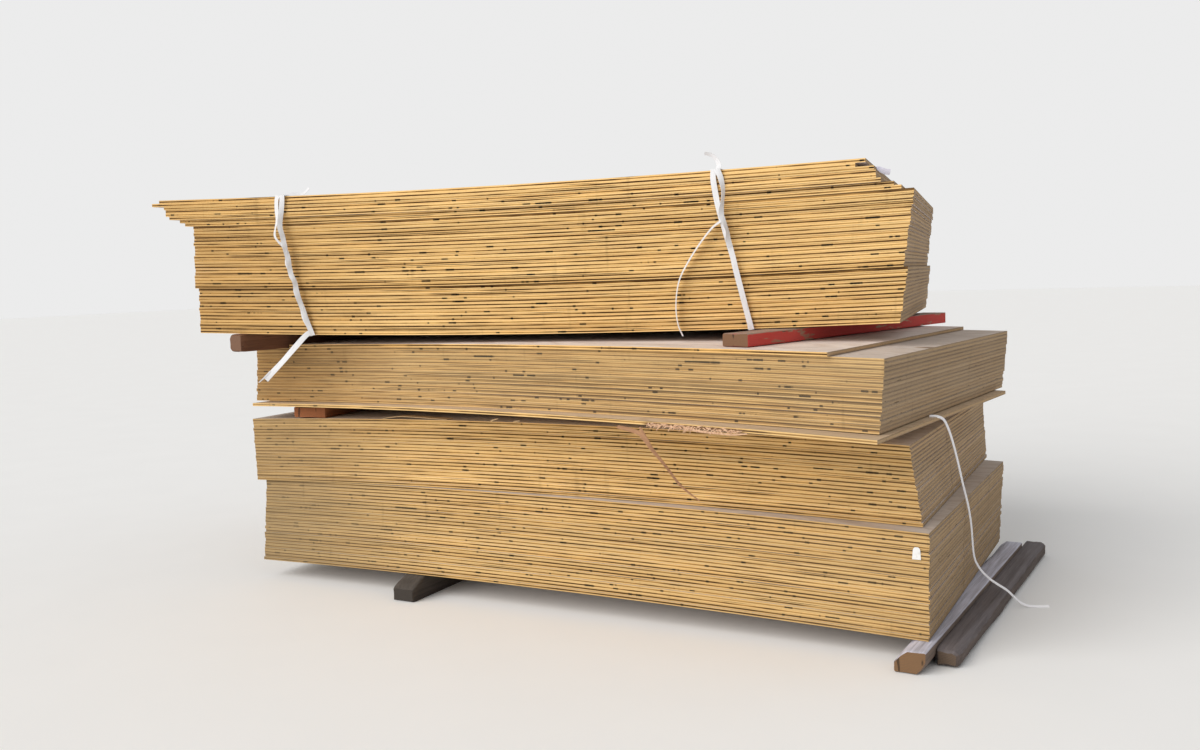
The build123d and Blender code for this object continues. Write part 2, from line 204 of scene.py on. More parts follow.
class Recipe:
    """The node tree of one finish, or of the world."""

    def __init__(self, holder: bpy.types.Material | bpy.types.World) -> None:
        """Empties the holder's node tree, to start afresh.

        Args:
            holder: The new material, or the new world.
        """
        self.holder = holder
        holder.use_nodes = True
        self.tree = holder.node_tree
        self.tree.nodes.clear()

    def node(
        self,
        kind: str,
        settings: Settings | None = None,
        inputs: Inputs | None = None,
        output: int | str = 0,
    ) -> Signal:
        """Adds a node.

        Args:
            kind: The node's type.
            settings: Its own options, which are set first.
            inputs: The values or links of its sockets, by name or place.
            output: The socket that is handed back.

        Returns:
            The output socket, ready for maths.
        """
        node = self.tree.nodes.new(kind)
        for name, value in (settings or {}).items():
            setattr(node, name, value)
        for name, value in (inputs or {}).items():
            if isinstance(value, Signal):
                self.tree.links.new(value.socket, node.inputs[name])
            elif isinstance(value, tuple) and len(value) == 3 and node.inputs[name].type == "RGBA":
                node.inputs[name].default_value = (*value, 1.0)
            else:
                node.inputs[name].default_value = value
        return Signal(self, node.outputs[output] if node.outputs else None)

    def place(self) -> tuple[Signal, Signal, Signal]:
        """Gives the point's own place in the stack, as x, y and z."""
        return self.split(self.node("ShaderNodeTexCoord", output="Object"))

    def facing(self) -> tuple[Signal, Signal, Signal]:
        """Gives the way that the surface faces, as x, y and z."""
        return self.split(self.node("ShaderNodeNewGeometry", output="Normal"))

    def split(self, vector: Signal) -> tuple[Signal, Signal, Signal]:
        """Takes a vector apart.

        Args:
            vector: The vector.

        Returns:
            Its x, y and z.
        """
        first = self.node("ShaderNodeSeparateXYZ", None, {"Vector": vector})
        outputs = first.socket.node.outputs
        return first, Signal(self, outputs[1]), Signal(self, outputs[2])

    def vector(self, x: Term, y: Term, z: Term) -> Signal:
        """Puts a vector together."""
        return self.node("ShaderNodeCombineXYZ", None, {0: x, 1: y, 2: z})

    def noise(
        self, place: Place, detail: float = 2.0, rough: float = 0.5, warp: float = 0.0
    ) -> Signal:
        """Gives soft random values round 0.5 that change over about one unit.

        Args:
            place: The place that is looked up, as x, y and z.
            detail: How many finer layers are added.
            rough: How strong the finer layers are.
            warp: How far the pattern is bent.

        Returns:
            The values.
        """
        inputs = {"Vector": self.vector(*place), "Scale": 1.0}
        inputs.update({"Detail": detail, "Roughness": rough, "Distortion": warp})
        return self.node("ShaderNodeTexNoise", {"noise_dimensions": "3D"}, inputs, "Fac")

    def spots(self, place: Place) -> Signal:
        """Gives the distance to the nearest of some scattered points, about one unit apart."""
        inputs = {"Vector": self.vector(*place), "Scale": 1.0}
        return self.node("ShaderNodeTexVoronoi", {"feature": "F1"}, inputs, "Distance")

    def dice(self, seed: Signal) -> Signal:
        """Gives one random value from 0 to 1 for each whole seed."""
        settings = {"noise_dimensions": "1D"}
        return self.node("ShaderNodeTexWhiteNoise", settings, {"W": seed}, "Value")

    def mix(
        self,
        share: Term,
        first: Signal | Colour,
        second: Signal | Colour,
        way: Blend = Blend.OVER,
    ) -> Signal:
        """Lays one colour over another.

        Args:
            share: How much of the second colour shows.
            first: The colour below.
            second: The colour that is laid over it.
            way: How it is laid over.

        Returns:
            The blend.
        """
        settings = {"data_type": "RGBA", "blend_type": way.value, "clamp_factor": True}
        return self.node("ShaderNodeMix", settings, {0: share, 6: first, 7: second}, 2)

    def shade(self, colour: Signal | Colour, amount: Term) -> Signal:
        """Multiplies a colour by a value."""
        return self.mix(1.0, colour, self.vector(amount, amount, amount), Blend.TIMES)

    def surface(
        self,
        colour: Signal | Colour,
        roughness: Term,
        gloss: float,
        relief: Signal | None = None,
        depth: float = 0.0,
    ) -> Signal:
        """Makes a surface.

        Args:
            colour: The base colour.
            roughness: From 0, glossy, to 1, dull.
            gloss: How strongly it mirrors, 0.5 for most things.
            relief: The height of the small forms on the surface, from 0 to 1.
            depth: How deep the relief is, in metres.

        Returns:
            The surface, for finish or choose.
        """
        inputs: Inputs = {"Base Color": colour, "Roughness": roughness, "Specular IOR Level": gloss}
        if relief is not None:
            bump = {"Height": relief, "Strength": 1.0, "Distance": depth}
            inputs["Normal"] = self.node("ShaderNodeBump", None, bump)
        return self.node("ShaderNodeBsdfPrincipled", None, inputs)

    def choose(self, share: Signal, surface: Signal, other: Signal) -> Signal:
        """Makes the one surface where the share is 0 and the other where it is 1."""
        return self.node("ShaderNodeMixShader", None, {0: share, 1: surface, 2: other})

    def finish(self, surface: Signal) -> bpy.types.Material | bpy.types.World:
        """Ends the tree with its surface.

        Args:
            surface: What the tree has made.

        Returns:
            The material or the world that holds the tree.
        """
        is_world = isinstance(self.holder, bpy.types.World)
        kind = "ShaderNodeOutputWorld" if is_world else "ShaderNodeOutputMaterial"
        self.node(kind, None, {"Surface": surface})
        return self.holder


# ---------------------------------------------------------------- places


@dataclass(frozen=True)
class Lay:
    """How one sheet lies.

    The corner and the turn (degrees, anticlockwise from above) fix the line of its front
    edge. Its middle is higher than its ends by the bow, and it is pushed out to the front.
    """

    x: float
    y: float
    turn: float
    bow: float = 0.0
    push: float = 0.0

    @property
    def right(self) -> Vector:
        """The way to the right along the front edge."""
        return Vector((math.cos(math.radians(self.turn)), math.sin(math.radians(self.turn)), 0))

    @property
    def back(self) -> Vector:
        """The way from the front edge to the back."""
        return Vector((-self.right.y, self.right.x, 0))

    @property
    def corner(self) -> Vector:
        """The front left corner's place in the stack."""
        return Vector((self.x - PLAN_CENTRE.x, self.y - PLAN_CENTRE.y, 0))

    def point(self, along: float, across: float, height: float = 0.0) -> Vector:
        """The point at these distances along the front edge, behind it and up."""
        return self.corner + along * self.right + across * self.back + Vector((0, 0, height))

    def drop(self, along: float) -> float:
        """How far the sheet is below its middle, at this distance along its place."""
        return self.bow * (2 * along / SHEET_LENGTH - 1) ** 2


def between(low: Lay, high: Lay, share: float) -> Lay:
    """Finds how a sheet lies part of the way up a group.

    Args:
        low: How the lowest sheet lies.
        high: How the highest sheet lies.
        share: How far up the sheet is, from 0 to 1.

    Returns:
        How it lies.
    """
    pairs = zip(astuple(low), astuple(high))
    return Lay(*(start + share * (stop - start) for start, stop in pairs))


def front_across(base: Lay, other: Lay, along: float) -> float:
    """Finds where another sheet's front edge crosses the base sheet.

    Args:
        base: The sheet that is measured on.
        other: The sheet whose front edge is looked for.
        along: The place along the base sheet's front edge.

    Returns:
        How far the other front edge is behind the base sheet's.
    """
    start = other.point(0, -other.push) - base.corner
    run = (along - start.dot(base.right)) / other.right.dot(base.right)
    return (start + run * other.right).dot(base.back)


# ---------------------------------------------------------------- finishes

# Points this far below a sheet's underside still belong to the sheet
LEVEL_SLACK = 0.0002

# The random values of two neighbouring sheets are this far apart
SHEET_SEED_STEP = 7.31


@dataclass(frozen=True)
class Spot:
    """Where a point is: along, across and up, how far up in its sheet, and its sheet's seed."""

    along: Signal
    across: Signal
    height: Signal
    ply: Signal
    sheet: Signal


@dataclass(frozen=True)
class PlywoodFinish:
    """Plywood of three plies, whose edges show a rough dark core between pale faces.

    The low and high lays and the level say which sheet a point is on and where in it. The
    greys say how weathered the ends and the whole are, the left shade how much painted shade
    darkens the left end, open_right how far the lower sheets gape at the right, the top line's
    shade how dark the painted shadow line along the top is, seam where the end's dark line is
    and torn where the torn part starts and stops. The gaps between the sheets, the core's voids
    and the shadows among the torn fibres are painted shade, and the flat faces' pale colours
    hold a painted sheen.
    """

    name: str
    low: Lay
    high: Lay
    level: float
    count: int
    seed: float
    brightness: float = 1.0
    grey_left: float = 0.2
    grey_right: float = 0.1
    grey_all: float = 0.0
    # Painted shade: darkens and warms the left end, where the bundle lies in shade
    left_painted_shade: Colour = (1.0, 1.0, 1.0)
    core_show: float = 1.0
    fine_lines: float = 0.0
    open_right: float = 0.0
    seam: float = 0.0
    torn: tuple[float, float] | None = None
    # How dark the painted shadow line is along the group's top, under the group above
    top_line_shade: float = 0.0
    end_tone: float = 1.0
    left_reach: float = 0.9
    right_reach: float = 0.7
    relief_depth: float = 0.0014
    gloss: float = 0.08

    pale: Colour = (0.97, 0.670, 0.300)
    tan: Colour = (0.78, 0.45, 0.145)
    core_brown: Colour = (0.31, 0.12, 0.013)
    # The core's own dark colour, also laid on as painted shade in gaps, partings and the top line
    dark_core_and_shade: Colour = (0.060, 0.021, 0.004)
    # Painted shade in the core's voids and holes
    void_shade: Colour = (0.006, 0.003, 0.002)
    end_light: Colour = (0.58, 0.43, 0.285)
    end_brown: Colour = (0.33, 0.215, 0.13)
    # The flat faces' veneer, lightened and greyed as a painted sheen from the sky
    top_pale_and_sheen: Colour = (0.90, 0.81, 0.755)
    top_tan_and_sheen: Colour = (0.70, 0.59, 0.52)
    knot: Colour = (0.13, 0.062, 0.03)
    weathered: Colour = (0.37, 0.255, 0.135)
    # Painted shade among the torn fibres
    torn_shade: Colour = (0.12, 0.045, 0.018)
    torn_pale: Colour = (0.84, 0.55, 0.34)

    def build(self) -> bpy.types.Material:
        """Builds the material.

        Returns:
            The material, with a surface for each way that a sheet's faces look.
        """
        recipe = Recipe(bpy.data.materials.new(self.name))
        spot = self._spot(recipe)
        weather, shade = self._weather(recipe, spot)
        grit = recipe.noise((spot.along * 30, spot.across * 30, spot.height * 60))
        roughness = 0.68 + grit * 0.25
        left = spot.along.ease(self.left_reach, 0.0)
        faces = []
        for colour, relief in (
            self._long_edge(recipe, spot),
            self._end(recipe, spot),
            self._flat(recipe, spot),
        ):
            colour = recipe.shade(recipe.mix(weather, colour, self.weathered), shade)
            # Painted shade laid over the left end of every face
            colour = recipe.mix(left, colour, self.left_painted_shade, Blend.TIMES)
            faces.append(recipe.surface(colour, roughness, self.gloss, relief, self.relief_depth))

        long_edge, end, flat = faces
        face_x, face_y, face_z = recipe.facing()
        right = between(self.low, self.high, 0.5).right
        is_end = abs(face_x * right.x + face_y * right.y).above(FACING)
        is_flat = abs(face_z).above(FACING)
        return recipe.finish(recipe.choose(is_flat, recipe.choose(is_end, long_edge, end), flat))

    def _spot(self, recipe: Recipe) -> Spot:
        """Works out which sheet a point is on and where in it.

        Args:
            recipe: The node tree.

        Returns:
            The place, with the bow taken out of its height.
        """
        x, y, z = recipe.place()
        lay = between(self.low, self.high, 0.5)
        from_x, from_y = x - lay.corner.x, y - lay.corner.y
        along = from_x * lay.right.x + from_y * lay.right.y
        across = from_y * lay.right.x - from_x * lay.right.y
        reach = along * (2 / SHEET_LENGTH) - 1
        reach = reach * reach
        height = z + reach * lay.bow - self.level
        share = (height / (SHEET_PITCH * self.count)).clamp() - 0.5
        height = height + share * (self.high.bow - self.low.bow) * reach
        step = (height + LEVEL_SLACK) / SHEET_PITCH
        index = step.floor()
        ply = (step - index) * (SHEET_PITCH / SHEET_THICKNESS)
        return Spot(along, across, height, ply, index * SHEET_SEED_STEP + self.seed)

    def _long_edge(self, recipe: Recipe, spot: Spot) -> tuple[Signal, Signal]:
        """Makes the long front and back edges: pale faces, a rough core and voids of painted shade.

        Args:
            recipe: The node tree.
            spot: Where the point is.

        Returns:
            The colour and the relief.
        """
        along, height, ply, sheet = spot.along, spot.height, spot.ply, spot.sheet
        side = spot.across * 4
        wander = recipe.noise((along * 2.2, side, sheet)) - 0.5
        own = recipe.dice(sheet.floor() + 41)
        strength = recipe.noise((along * 3.2, side, sheet + 17), 3.0, 0.65)
        strength = (strength + own * 0.14).ease(0.37, 0.67)
        swell = recipe.noise((along * 9, side, sheet + 31)) - 0.5
        half = 0.132 + strength * 0.066 + swell * 0.10
        off = abs(ply - (0.50 + wander * 0.22))
        core = 1 - off.ease(half - 0.035, half + 0.045)

        rough = recipe.noise((along * 85, side, height * 420), 3.0, 0.65)
        streak = recipe.noise((along * 7, side, height * 1300), 3.0, 0.6)
        patch = recipe.noise((along * 3.1, side, sheet + 11), 2.0)
        tan = (streak * 0.8 + patch * 0.9 + own * 0.35 - 0.62).clamp()
        face = recipe.shade(recipe.mix(tan, self.pale, self.tan), 0.80 + rough * 0.36)
        if self.fine_lines:
            line = recipe.noise((along * 4, side, height * 330 + self.seed), 2.0, 0.6)
            face = recipe.mix(line.ease(0.52, 0.66) * self.fine_lines, face, self.core_brown)
        dark = (rough * 1.6 - 0.45 + strength * 0.75).clamp()
        inside = recipe.mix(dark, self.core_brown, self.dark_core_and_shade)
        inside = recipe.mix((1 - strength) * 0.5, inside, self.tan)
        colour = recipe.mix(core * self.core_show, face, inside)

        # The core's voids, painted near black as the shade inside them
        short = recipe.noise((along * 16, side, sheet * 3.7 + 5), 2.0, 0.6).ease(0.645, 0.66)
        long = recipe.noise((along * 7.5, side, sheet * 2.3 + 9), 3.0, 0.7).ease(0.63, 0.645)
        slack = recipe.noise((along * 150, side, sheet + 2), 1.0)
        outside = off.ease(half * (0.9 + slack * 0.5), half * (1.3 + slack * 0.6))
        hole = short.most(long) * (1 - outside)
        pin = recipe.noise((along * 120, side, height * 260), 1.0).ease(0.69, 0.73) * core
        colour = recipe.mix((hole + pin * 0.8).clamp(), colour, self.void_shade)

        # Painted shade along each sheet's upper and lower edges, where the sheets meet
        edge = ply.ease(0.0, 0.05) * (1 - ply.ease(0.95, 1.0))
        colour = self._partings(recipe, spot, recipe.shade(colour, 0.80 + edge * 0.20))
        relief = 0.8 - core * (0.18 + rough * 0.25) - hole * 0.5 + streak * 0.16
        return colour, relief

    def _partings(self, recipe: Recipe, spot: Spot, colour: Signal) -> Signal:
        """Lays painted shade in the sheets' gaps and top line, and the torn part, over a long edge.

        Args:
            recipe: The node tree.
            spot: Where the point is.
            colour: The edge's own colour.

        Returns:
            The colour with them.
        """
        along, height, ply, sheet = spot.along, spot.height, spot.ply, spot.sheet
        side = spot.across * 4
        # Painted shade in the gaps where neighbouring sheets part, here and there
        gap = recipe.noise((along * 1.7, side, sheet * 1.3 + 77), 2.0).ease(0.58, 0.64)
        colour = recipe.mix(gap * ply.ease(0.80, 0.92) * 0.9, colour, self.dark_core_and_shade)
        # Painted shade in the gaps where the lower sheets gape at the right
        if self.open_right:
            low = (height / (SHEET_PITCH * self.count)).ease(0.75, 0.35)
            parted = along.ease(0.7, 1.3) * low * recipe.dice(sheet.floor() + 61).ease(0.30, 0.40)
            share = parted * ply.ease(0.64, 0.76) * self.open_right
            colour = recipe.mix(share, colour, self.dark_core_and_shade)
        # Painted contact shadow along the top sheet's upper edge, under the group above
        if self.top_line_shade:
            line = (height / SHEET_PITCH - self.count).ease(-0.50, -0.24)
            colour = recipe.mix(line * self.top_line_shade, colour, self.dark_core_and_shade)
        # The torn part: pale fibres with painted shade among them
        if self.torn:
            start, stop = self.torn
            torn = along.ease(start, start + 0.03) * along.ease(stop, stop - 0.05)
            rag = recipe.noise((along * 55, side, height * 380), 3.0, 0.7, 0.6)
            fibres = recipe.mix(rag.ease(0.49, 0.66), self.torn_shade, self.torn_pale)
            colour = recipe.mix(torn * ply.ease(0.95, 0.45), colour, fibres)
        return colour

    def _end(self, recipe: Recipe, spot: Spot) -> tuple[Signal, Signal]:
        """Makes the short ends, where the core is the paler ply, with painted shade in gaps and
        holes.

        Args:
            recipe: The node tree.
            spot: Where the point is.

        Returns:
            The colour and the relief.
        """
        across, height, ply, sheet = spot.across, spot.height, spot.ply, spot.sheet
        side = spot.along * 4
        wander = recipe.noise((across * 2.4, side, sheet + 3)) - 0.5
        core = 1 - abs(ply - 0.5 - wander * 0.12).ease(0.13, 0.21)
        rough = recipe.noise((across * 120, side, height * 420), 3.0, 0.65)
        patch = recipe.noise((across * 3.3, side, height * 14 + self.seed), 3.0)
        streak = recipe.noise((across * 8, side, height * 1300), 3.0, 0.6)
        share = (rough * 1.3 + patch * 0.8 - 0.62).clamp()
        face = recipe.mix(share, self.end_light, self.end_brown)
        inside = recipe.mix((streak * 0.9 + patch * 0.5 - 0.35).clamp(), self.end_light, self.tan)
        colour = recipe.mix(core * 0.75, face, inside)

        # Painted shade in the gaps between sheets, all along and wider here and there
        from_middle = abs(ply - 0.5)
        sheet_parting = from_middle.ease(0.43, 0.5)
        gap = recipe.noise((across * 1.9, side, sheet * 1.7 + 13), 2.0).ease(0.52, 0.60)
        open_parting = gap * from_middle.ease(0.36, 0.46)
        colour = recipe.mix(sheet_parting * 0.42 + open_parting * 0.42, colour, self.dark_core_and_shade)
        pit = recipe.noise((across * 150, side, height * 520 + self.seed), 2.0, 0.6)
        colour = recipe.mix(pit.ease(0.60, 0.68) * 0.6, colour, self.dark_core_and_shade)
        # Holes in the core, painted dark as the shade inside them
        chance = recipe.noise((across * 17, side, sheet * 2.9 + 9), 2.0)
        hole = chance.ease(0.67, 0.70) * abs(ply - 0.24).ease(0.12, 0.05)
        colour = recipe.shade(recipe.mix(hole * 0.85, colour, self.void_shade), self.end_tone)
        relief = 0.75 - (1 - core) * rough * 0.35 - hole * 0.4 - sheet_parting * 0.2 - open_parting * 0.2
        if self.seam:
            seam = abs(across - self.seam - (patch - 0.5) * 0.012).ease(0.0045, 0.0015)
            colour = recipe.mix(seam * 0.65, colour, self.dark_core_and_shade)
            relief = relief - seam * 0.5
        return colour, relief

    def _flat(self, recipe: Recipe, spot: Spot) -> tuple[Signal, Signal]:
        """Makes the flat faces: peeled veneer, with a painted sheen, its figure, cracks and knots.

        Args:
            recipe: The node tree.
            spot: Where the point is.

        Returns:
            The colour and the relief.
        """
        along, across, sheet = spot.along, spot.across, spot.sheet
        knots = recipe.spots((along * 1.9, across * 3.1, sheet))
        pull = knots.ease(0.34, 0.02)
        field = recipe.noise((along * 0.75, across * 4.2 + pull * 0.5, sheet * 0.37), 2.0, 0.5, 0.4)
        ring = abs((field * 19 + pull * 2.2).part() - 0.5) * 2
        fibre = recipe.noise((along * 8, across * 330, sheet), 3.0, 0.6)
        figure = (ring.ease(0.35, 1.0) * 0.62 + fibre * 0.65 - 0.16).clamp()
        # The veneer's figure, in colours that hold a painted sheen
        colour = recipe.mix(figure, self.top_pale_and_sheen, self.top_tan_and_sheen)
        check = recipe.noise((along * 3.5, across * 95, sheet + 21), 2.0, 0.5).ease(0.685, 0.73)
        colour = recipe.mix(check * 0.7, colour, self.dark_core_and_shade)
        heart = knots.ease(0.075, 0.045)
        rim = knots.ease(0.11, 0.07) - heart
        colour = recipe.mix(rim * 0.55, colour, self.core_brown)
        colour = recipe.mix(heart * 0.85, colour, self.knot)
        relief = 0.7 + fibre * 0.12 - ring * 0.05 - check * 0.3 - heart * 0.12
        return colour, relief

    def _weather(self, recipe: Recipe, spot: Spot) -> tuple[Signal, Signal]:
        """Works out what the weather has done, most towards the ends.

        Args:
            recipe: The node tree.
            spot: Where the point is.

        Returns:
            How weathered the place is, and how light its sheet is.
        """
        along, across, height = spot.along, spot.across, spot.height
        cloud = recipe.noise((along * 1.3, across * 1.3, height * 5 + self.seed), 4.0, 0.6)
        left = along.ease(self.left_reach, 0.0) * self.grey_left
        right = along.ease(SHEET_LENGTH - self.right_reach, SHEET_LENGTH) * self.grey_right
        amount = (left + right + self.grey_all) * (0.45 + cloud)
        runs = recipe.noise((along * 26, across * 26, height * 2.2 + self.seed), 3.0, 0.6)
        tone = 0.88 + recipe.dice(spot.sheet.floor() + 3) * 0.18
        light = (1 - runs.ease(0.60, 0.75) * 0.16) * tone * self.brightness
        return amount.clamp() * 0.8, light


@dataclass(frozen=True)
class TimberFinish:
    """A sawn timber, weathered on its long faces and rough on its ends.

    It lies on its foot's height, with its length across the sheets.
    """

    name: str
    lay: Lay
    foot: float
    width: float
    height: float
    length: float
    light: Colour
    dark: Colour
    end: Colour
    top: Colour
    top_share: float = 0.6
    paint: Colour | None = None
    paint_wear: float = 0.5
    faded_paint: Colour = (0.42, 0.22, 0.20)
    crack: Colour = (0.02, 0.014, 0.01)
    seed: float = 0.0
    relief_depth: float = 0.0016
    gloss: float = 0.25

    def build(self) -> bpy.types.Material:
        """Builds the material.

        Returns:
            The material, with its grain along the timber and rings on its ends.
        """
        recipe = Recipe(bpy.data.materials.new(self.name))
        x, y, z = recipe.place()
        from_x, from_y = x - self.lay.corner.x, y - self.lay.corner.y
        across = from_x * self.lay.right.x + from_y * self.lay.right.y
        run = from_y * self.lay.right.x - from_x * self.lay.right.y
        up = z - self.foot

        grain = recipe.noise((across * 60 + self.seed, run * 2.2, up * 60), 4.0, 0.6, 0.5)
        fine = recipe.noise((across * 420, run * 9, up * 420 + self.seed), 3.0, 0.6)
        blotch = recipe.noise((across * 9, run * 3.5 + self.seed, up * 9), 3.0, 0.55)
        share = (grain * 1.5 + fine * 0.7 - 0.72).clamp()
        wood = recipe.shade(recipe.mix(share, self.light, self.dark), 0.72 + blotch * 0.5)
        check = recipe.noise((across * 130 + self.seed, run * 3, up * 130), 2.0).ease(0.66, 0.70)
        wood = recipe.mix(check * 0.8, wood, self.crack)

        face_x, face_y, face_z = recipe.facing()
        back = self.lay.back
        is_end = abs(face_x * back.x + face_y * back.y).above(FACING)
        grey = recipe.mix((grain * 1.2 + fine * 0.6 - 0.5).clamp(), self.top, self.dark)
        upward = face_z.ease(0.2, 0.8)
        top = upward * (blotch * 1.6 - 0.2 + self.top_share - 0.5).clamp()
        colour = recipe.mix(top, wood, grey)
        if self.paint:
            flake = recipe.noise((across * 55, run * 9 + self.seed, up * 55), 4.0, 0.65)
            edge = up.ease(self.height - 0.010, self.height - 0.001)
            bare = flake + (blotch - 0.5) * 0.6 + upward * self.paint_wear * 0.35 + edge * 0.10
            fading = (upward * 0.45 + blotch * 0.3).clamp()
            faded = recipe.mix(fading, self.paint, self.faded_paint)
            faded = recipe.shade(faded, 0.8 + fine * 0.4)
            colour = recipe.mix(bare.ease(0.66, 0.58), colour, faded)

        pith_x, pith_z = self.width * 0.38, -self.height * 0.9
        ring_x, ring_z = across - pith_x, up - pith_z
        radius = (ring_x * ring_x + ring_z * ring_z) ** 0.5
        rings = abs((radius * 240 + (blotch - 0.5) * 1.6).part() - 0.5) * 2
        pores = recipe.noise((across * 500, run * 20, up * 500), 2.0)
        rough_end = recipe.shade(recipe.mix(rings * 0.55, self.end, self.dark), 0.62 + pores * 0.6)
        split = recipe.noise((across * 55 + self.seed, 0.0, up * 12), 1.0).ease(0.64, 0.68)
        rough_end = recipe.mix(split * 0.7, rough_end, self.crack)
        colour = recipe.mix(is_end, colour, rough_end)

        relief = 0.6 + fine * 0.35 - check * 0.5 + grain * 0.2
        end_relief = 0.5 + pores * 0.3 - rings * 0.15 - split * 0.4
        relief = relief * (1 - is_end) + end_relief * is_end
        roughness = 0.72 + fine * 0.22
        return recipe.finish(
            recipe.surface(colour, roughness, self.gloss, relief, self.relief_depth)
        )


@dataclass(frozen=True)
class StrapFinish:
    """Pale woven plastic strap, read from its own map: across first, then along."""

    name: str
    colour: Colour = (0.83, 0.82, 0.83)
    shaded: Colour = (0.60, 0.62, 0.66)
    dirt: Colour = (0.42, 0.36, 0.30)
    soil: float = 0.12
    relief_depth: float = 0.0003
    gloss: float = 0.5

    def build(self) -> bpy.types.Material:
        """Builds the material.

        Returns:
            The material, for a band with a map in metres.
        """
        recipe = Recipe(bpy.data.materials.new(self.name))
        across, along, _ = recipe.split(recipe.node("ShaderNodeTexCoord", output="UV"))
        threads = abs((across * 900).part() - 0.5) * 2
        weft = abs((along * 650 + across * 130).part() - 0.5) * 2
        cloud = recipe.noise((across * 60, along * 16, 0.0), 3.0, 0.6)
        fibre = recipe.noise((across * 1500, along * 30, 0.0), 2.0)
        share = (threads * 0.25 + fibre * 0.5 - 0.1).clamp()
        colour = recipe.mix(share, self.colour, self.shaded)
        colour = recipe.mix((cloud.ease(0.52, 0.72) * self.soil * 3).clamp(), colour, self.dirt)
        relief = threads * 0.5 + weft * 0.25 + fibre * 0.3
        roughness = 0.34 + cloud * 0.2
        return recipe.finish(
            recipe.surface(colour, roughness, self.gloss, relief, self.relief_depth)
        )


@dataclass(frozen=True)
class SplinterFinish:
    """Fresh torn veneer, with grain along the splinter."""

    name: str
    light: Colour = (0.80, 0.60, 0.36)
    dark: Colour = (0.50, 0.32, 0.16)

    def build(self) -> bpy.types.Material:
        """Builds the material.

        Returns:
            The material, for a strip with a map in metres.
        """
        recipe = Recipe(bpy.data.materials.new(self.name))
        across, along, _ = recipe.split(recipe.node("ShaderNodeTexCoord", output="UV"))
        fibre = recipe.noise((across * 1400, along * 22, 0.0), 3.0, 0.6)
        cloud = recipe.noise((across * 120, along * 30, 4.0), 2.0)
        share = (fibre * 1.3 + cloud * 0.5 - 0.55).clamp()
        colour = recipe.mix(share, self.light, self.dark)
        return recipe.finish(recipe.surface(colour, 0.8, 0.2, fibre, 0.0005))


@dataclass(frozen=True)
class PaperFinish:
    """Stiff white paper, creased and a little soiled."""

    name: str
    colour: Colour = (0.80, 0.80, 0.79)
    soiled: Colour = (0.55, 0.52, 0.47)

    def build(self) -> bpy.types.Material:
        """Builds the material.

        Returns:
            The material, for paper that stands up and faces the front.
        """
        recipe = Recipe(bpy.data.materials.new(self.name))
        x, _, z = recipe.place()
        crease = recipe.noise((x * 160, 0.0, z * 160), 3.0, 0.6, 0.8)
        cloud = recipe.noise((x * 70, 5.0, z * 70), 2.0)
        colour = recipe.mix(cloud.ease(0.5, 0.75) * 0.5, self.colour, self.soiled)
        return recipe.finish(recipe.surface(colour, 0.7, 0.3, crease, 0.0012))


@dataclass(frozen=True)
class FloorFinish:
    """A plain pale studio floor."""

    name: str
    colour: Colour = (0.93, 0.925, 0.915)

    def build(self) -> bpy.types.Material:
        """Builds the material.

        Returns:
            The material, a little uneven so that it isn't lifeless.
        """
        recipe = Recipe(bpy.data.materials.new(self.name))
        x, y, _ = recipe.place()
        cloud = recipe.noise((x * 3, y * 3, 0.0), 2.0)
        colour = recipe.shade(self.colour, 0.985 + cloud * 0.03)
        return recipe.finish(recipe.surface(colour, 0.9, 0.1))


# ---------------------------------------------------------------- modelling by hand


def deselect() -> None:
    """Leaves nothing selected."""
    bpy.ops.object.select_all(action="DESELECT")


def add_grid(name: str, columns: int, rows: int) -> bpy.types.Object:
    """Adds a flat square of faces, one unit wide, for a piece to be shaped from.

    Args:
        name: The piece's name.
        columns: How many faces there are along x.
        rows: How many faces there are along y.

    Returns:
        The square, which is the active piece.
    """
    deselect()
    bpy.ops.mesh.primitive_grid_add(x_subdivisions=columns, y_subdivisions=rows, size=1)
    grid = bpy.context.object
    grid.name = grid.data.name = name
    return grid


def thicken(piece: bpy.types.Object, thickness: float) -> None:
    """Gives the active piece its thickness, half of it to each side.

    Args:
        piece: The piece, which is a single layer of faces.
        thickness: How thick it gets.
    """
    solid = piece.modifiers.new("thickness", "SOLIDIFY")
    solid.thickness = thickness
    solid.offset = 0.0
    bpy.ops.object.modifier_apply(modifier=solid.name)


def close_up(smooth: float, weld: float = 0.0) -> None:
    """Turns the active piece's faces outwards and smooths it.

    Args:
        smooth: The sharpest edge that is still shaded smooth, in degrees.
        weld: Points that are nearer than this are merged first.
    """
    bpy.ops.object.mode_set(mode="EDIT")
    bpy.ops.mesh.select_all(action="SELECT")
    if weld:
        bpy.ops.mesh.remove_doubles(threshold=weld)
    bpy.ops.mesh.normals_make_consistent(inside=False)
    bpy.ops.object.mode_set(mode="OBJECT")
    bpy.ops.object.shade_smooth_by_angle(angle=math.radians(smooth))


def dress(piece: bpy.types.Object, material: bpy.types.Material) -> None:
    """Gives a piece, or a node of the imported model, a material all over.

    Args:
        piece: The piece.
        material: Its material.
    """
    if not piece.material_slots:
        piece.data.materials.append(material)
    for slot in piece.material_slots:
        slot.material = material


def settle(piece: bpy.types.Object, material: bpy.types.Material) -> bpy.types.Object:
    """Dresses a finished piece and sets it to ride with the stack.

    Args:
        piece: The finished piece.
        material: Its material.

    Returns:
        The piece.
    """
    dress(piece, material)
    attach(piece, "root")
    low, high = piece.bound_box[0], piece.bound_box[6]
    faces = len(getattr(piece.data, "polygons", ()))
    log.info("%s: %d faces, %s to %s", piece.name, faces, low[:], high[:])
    return piece


@dataclass(frozen=True)
class Station:
    """A place on a band's line: its middle, the way across it, and its width there."""

    middle: Vector
    side: Vector
    width: float = STRAP_WIDTH


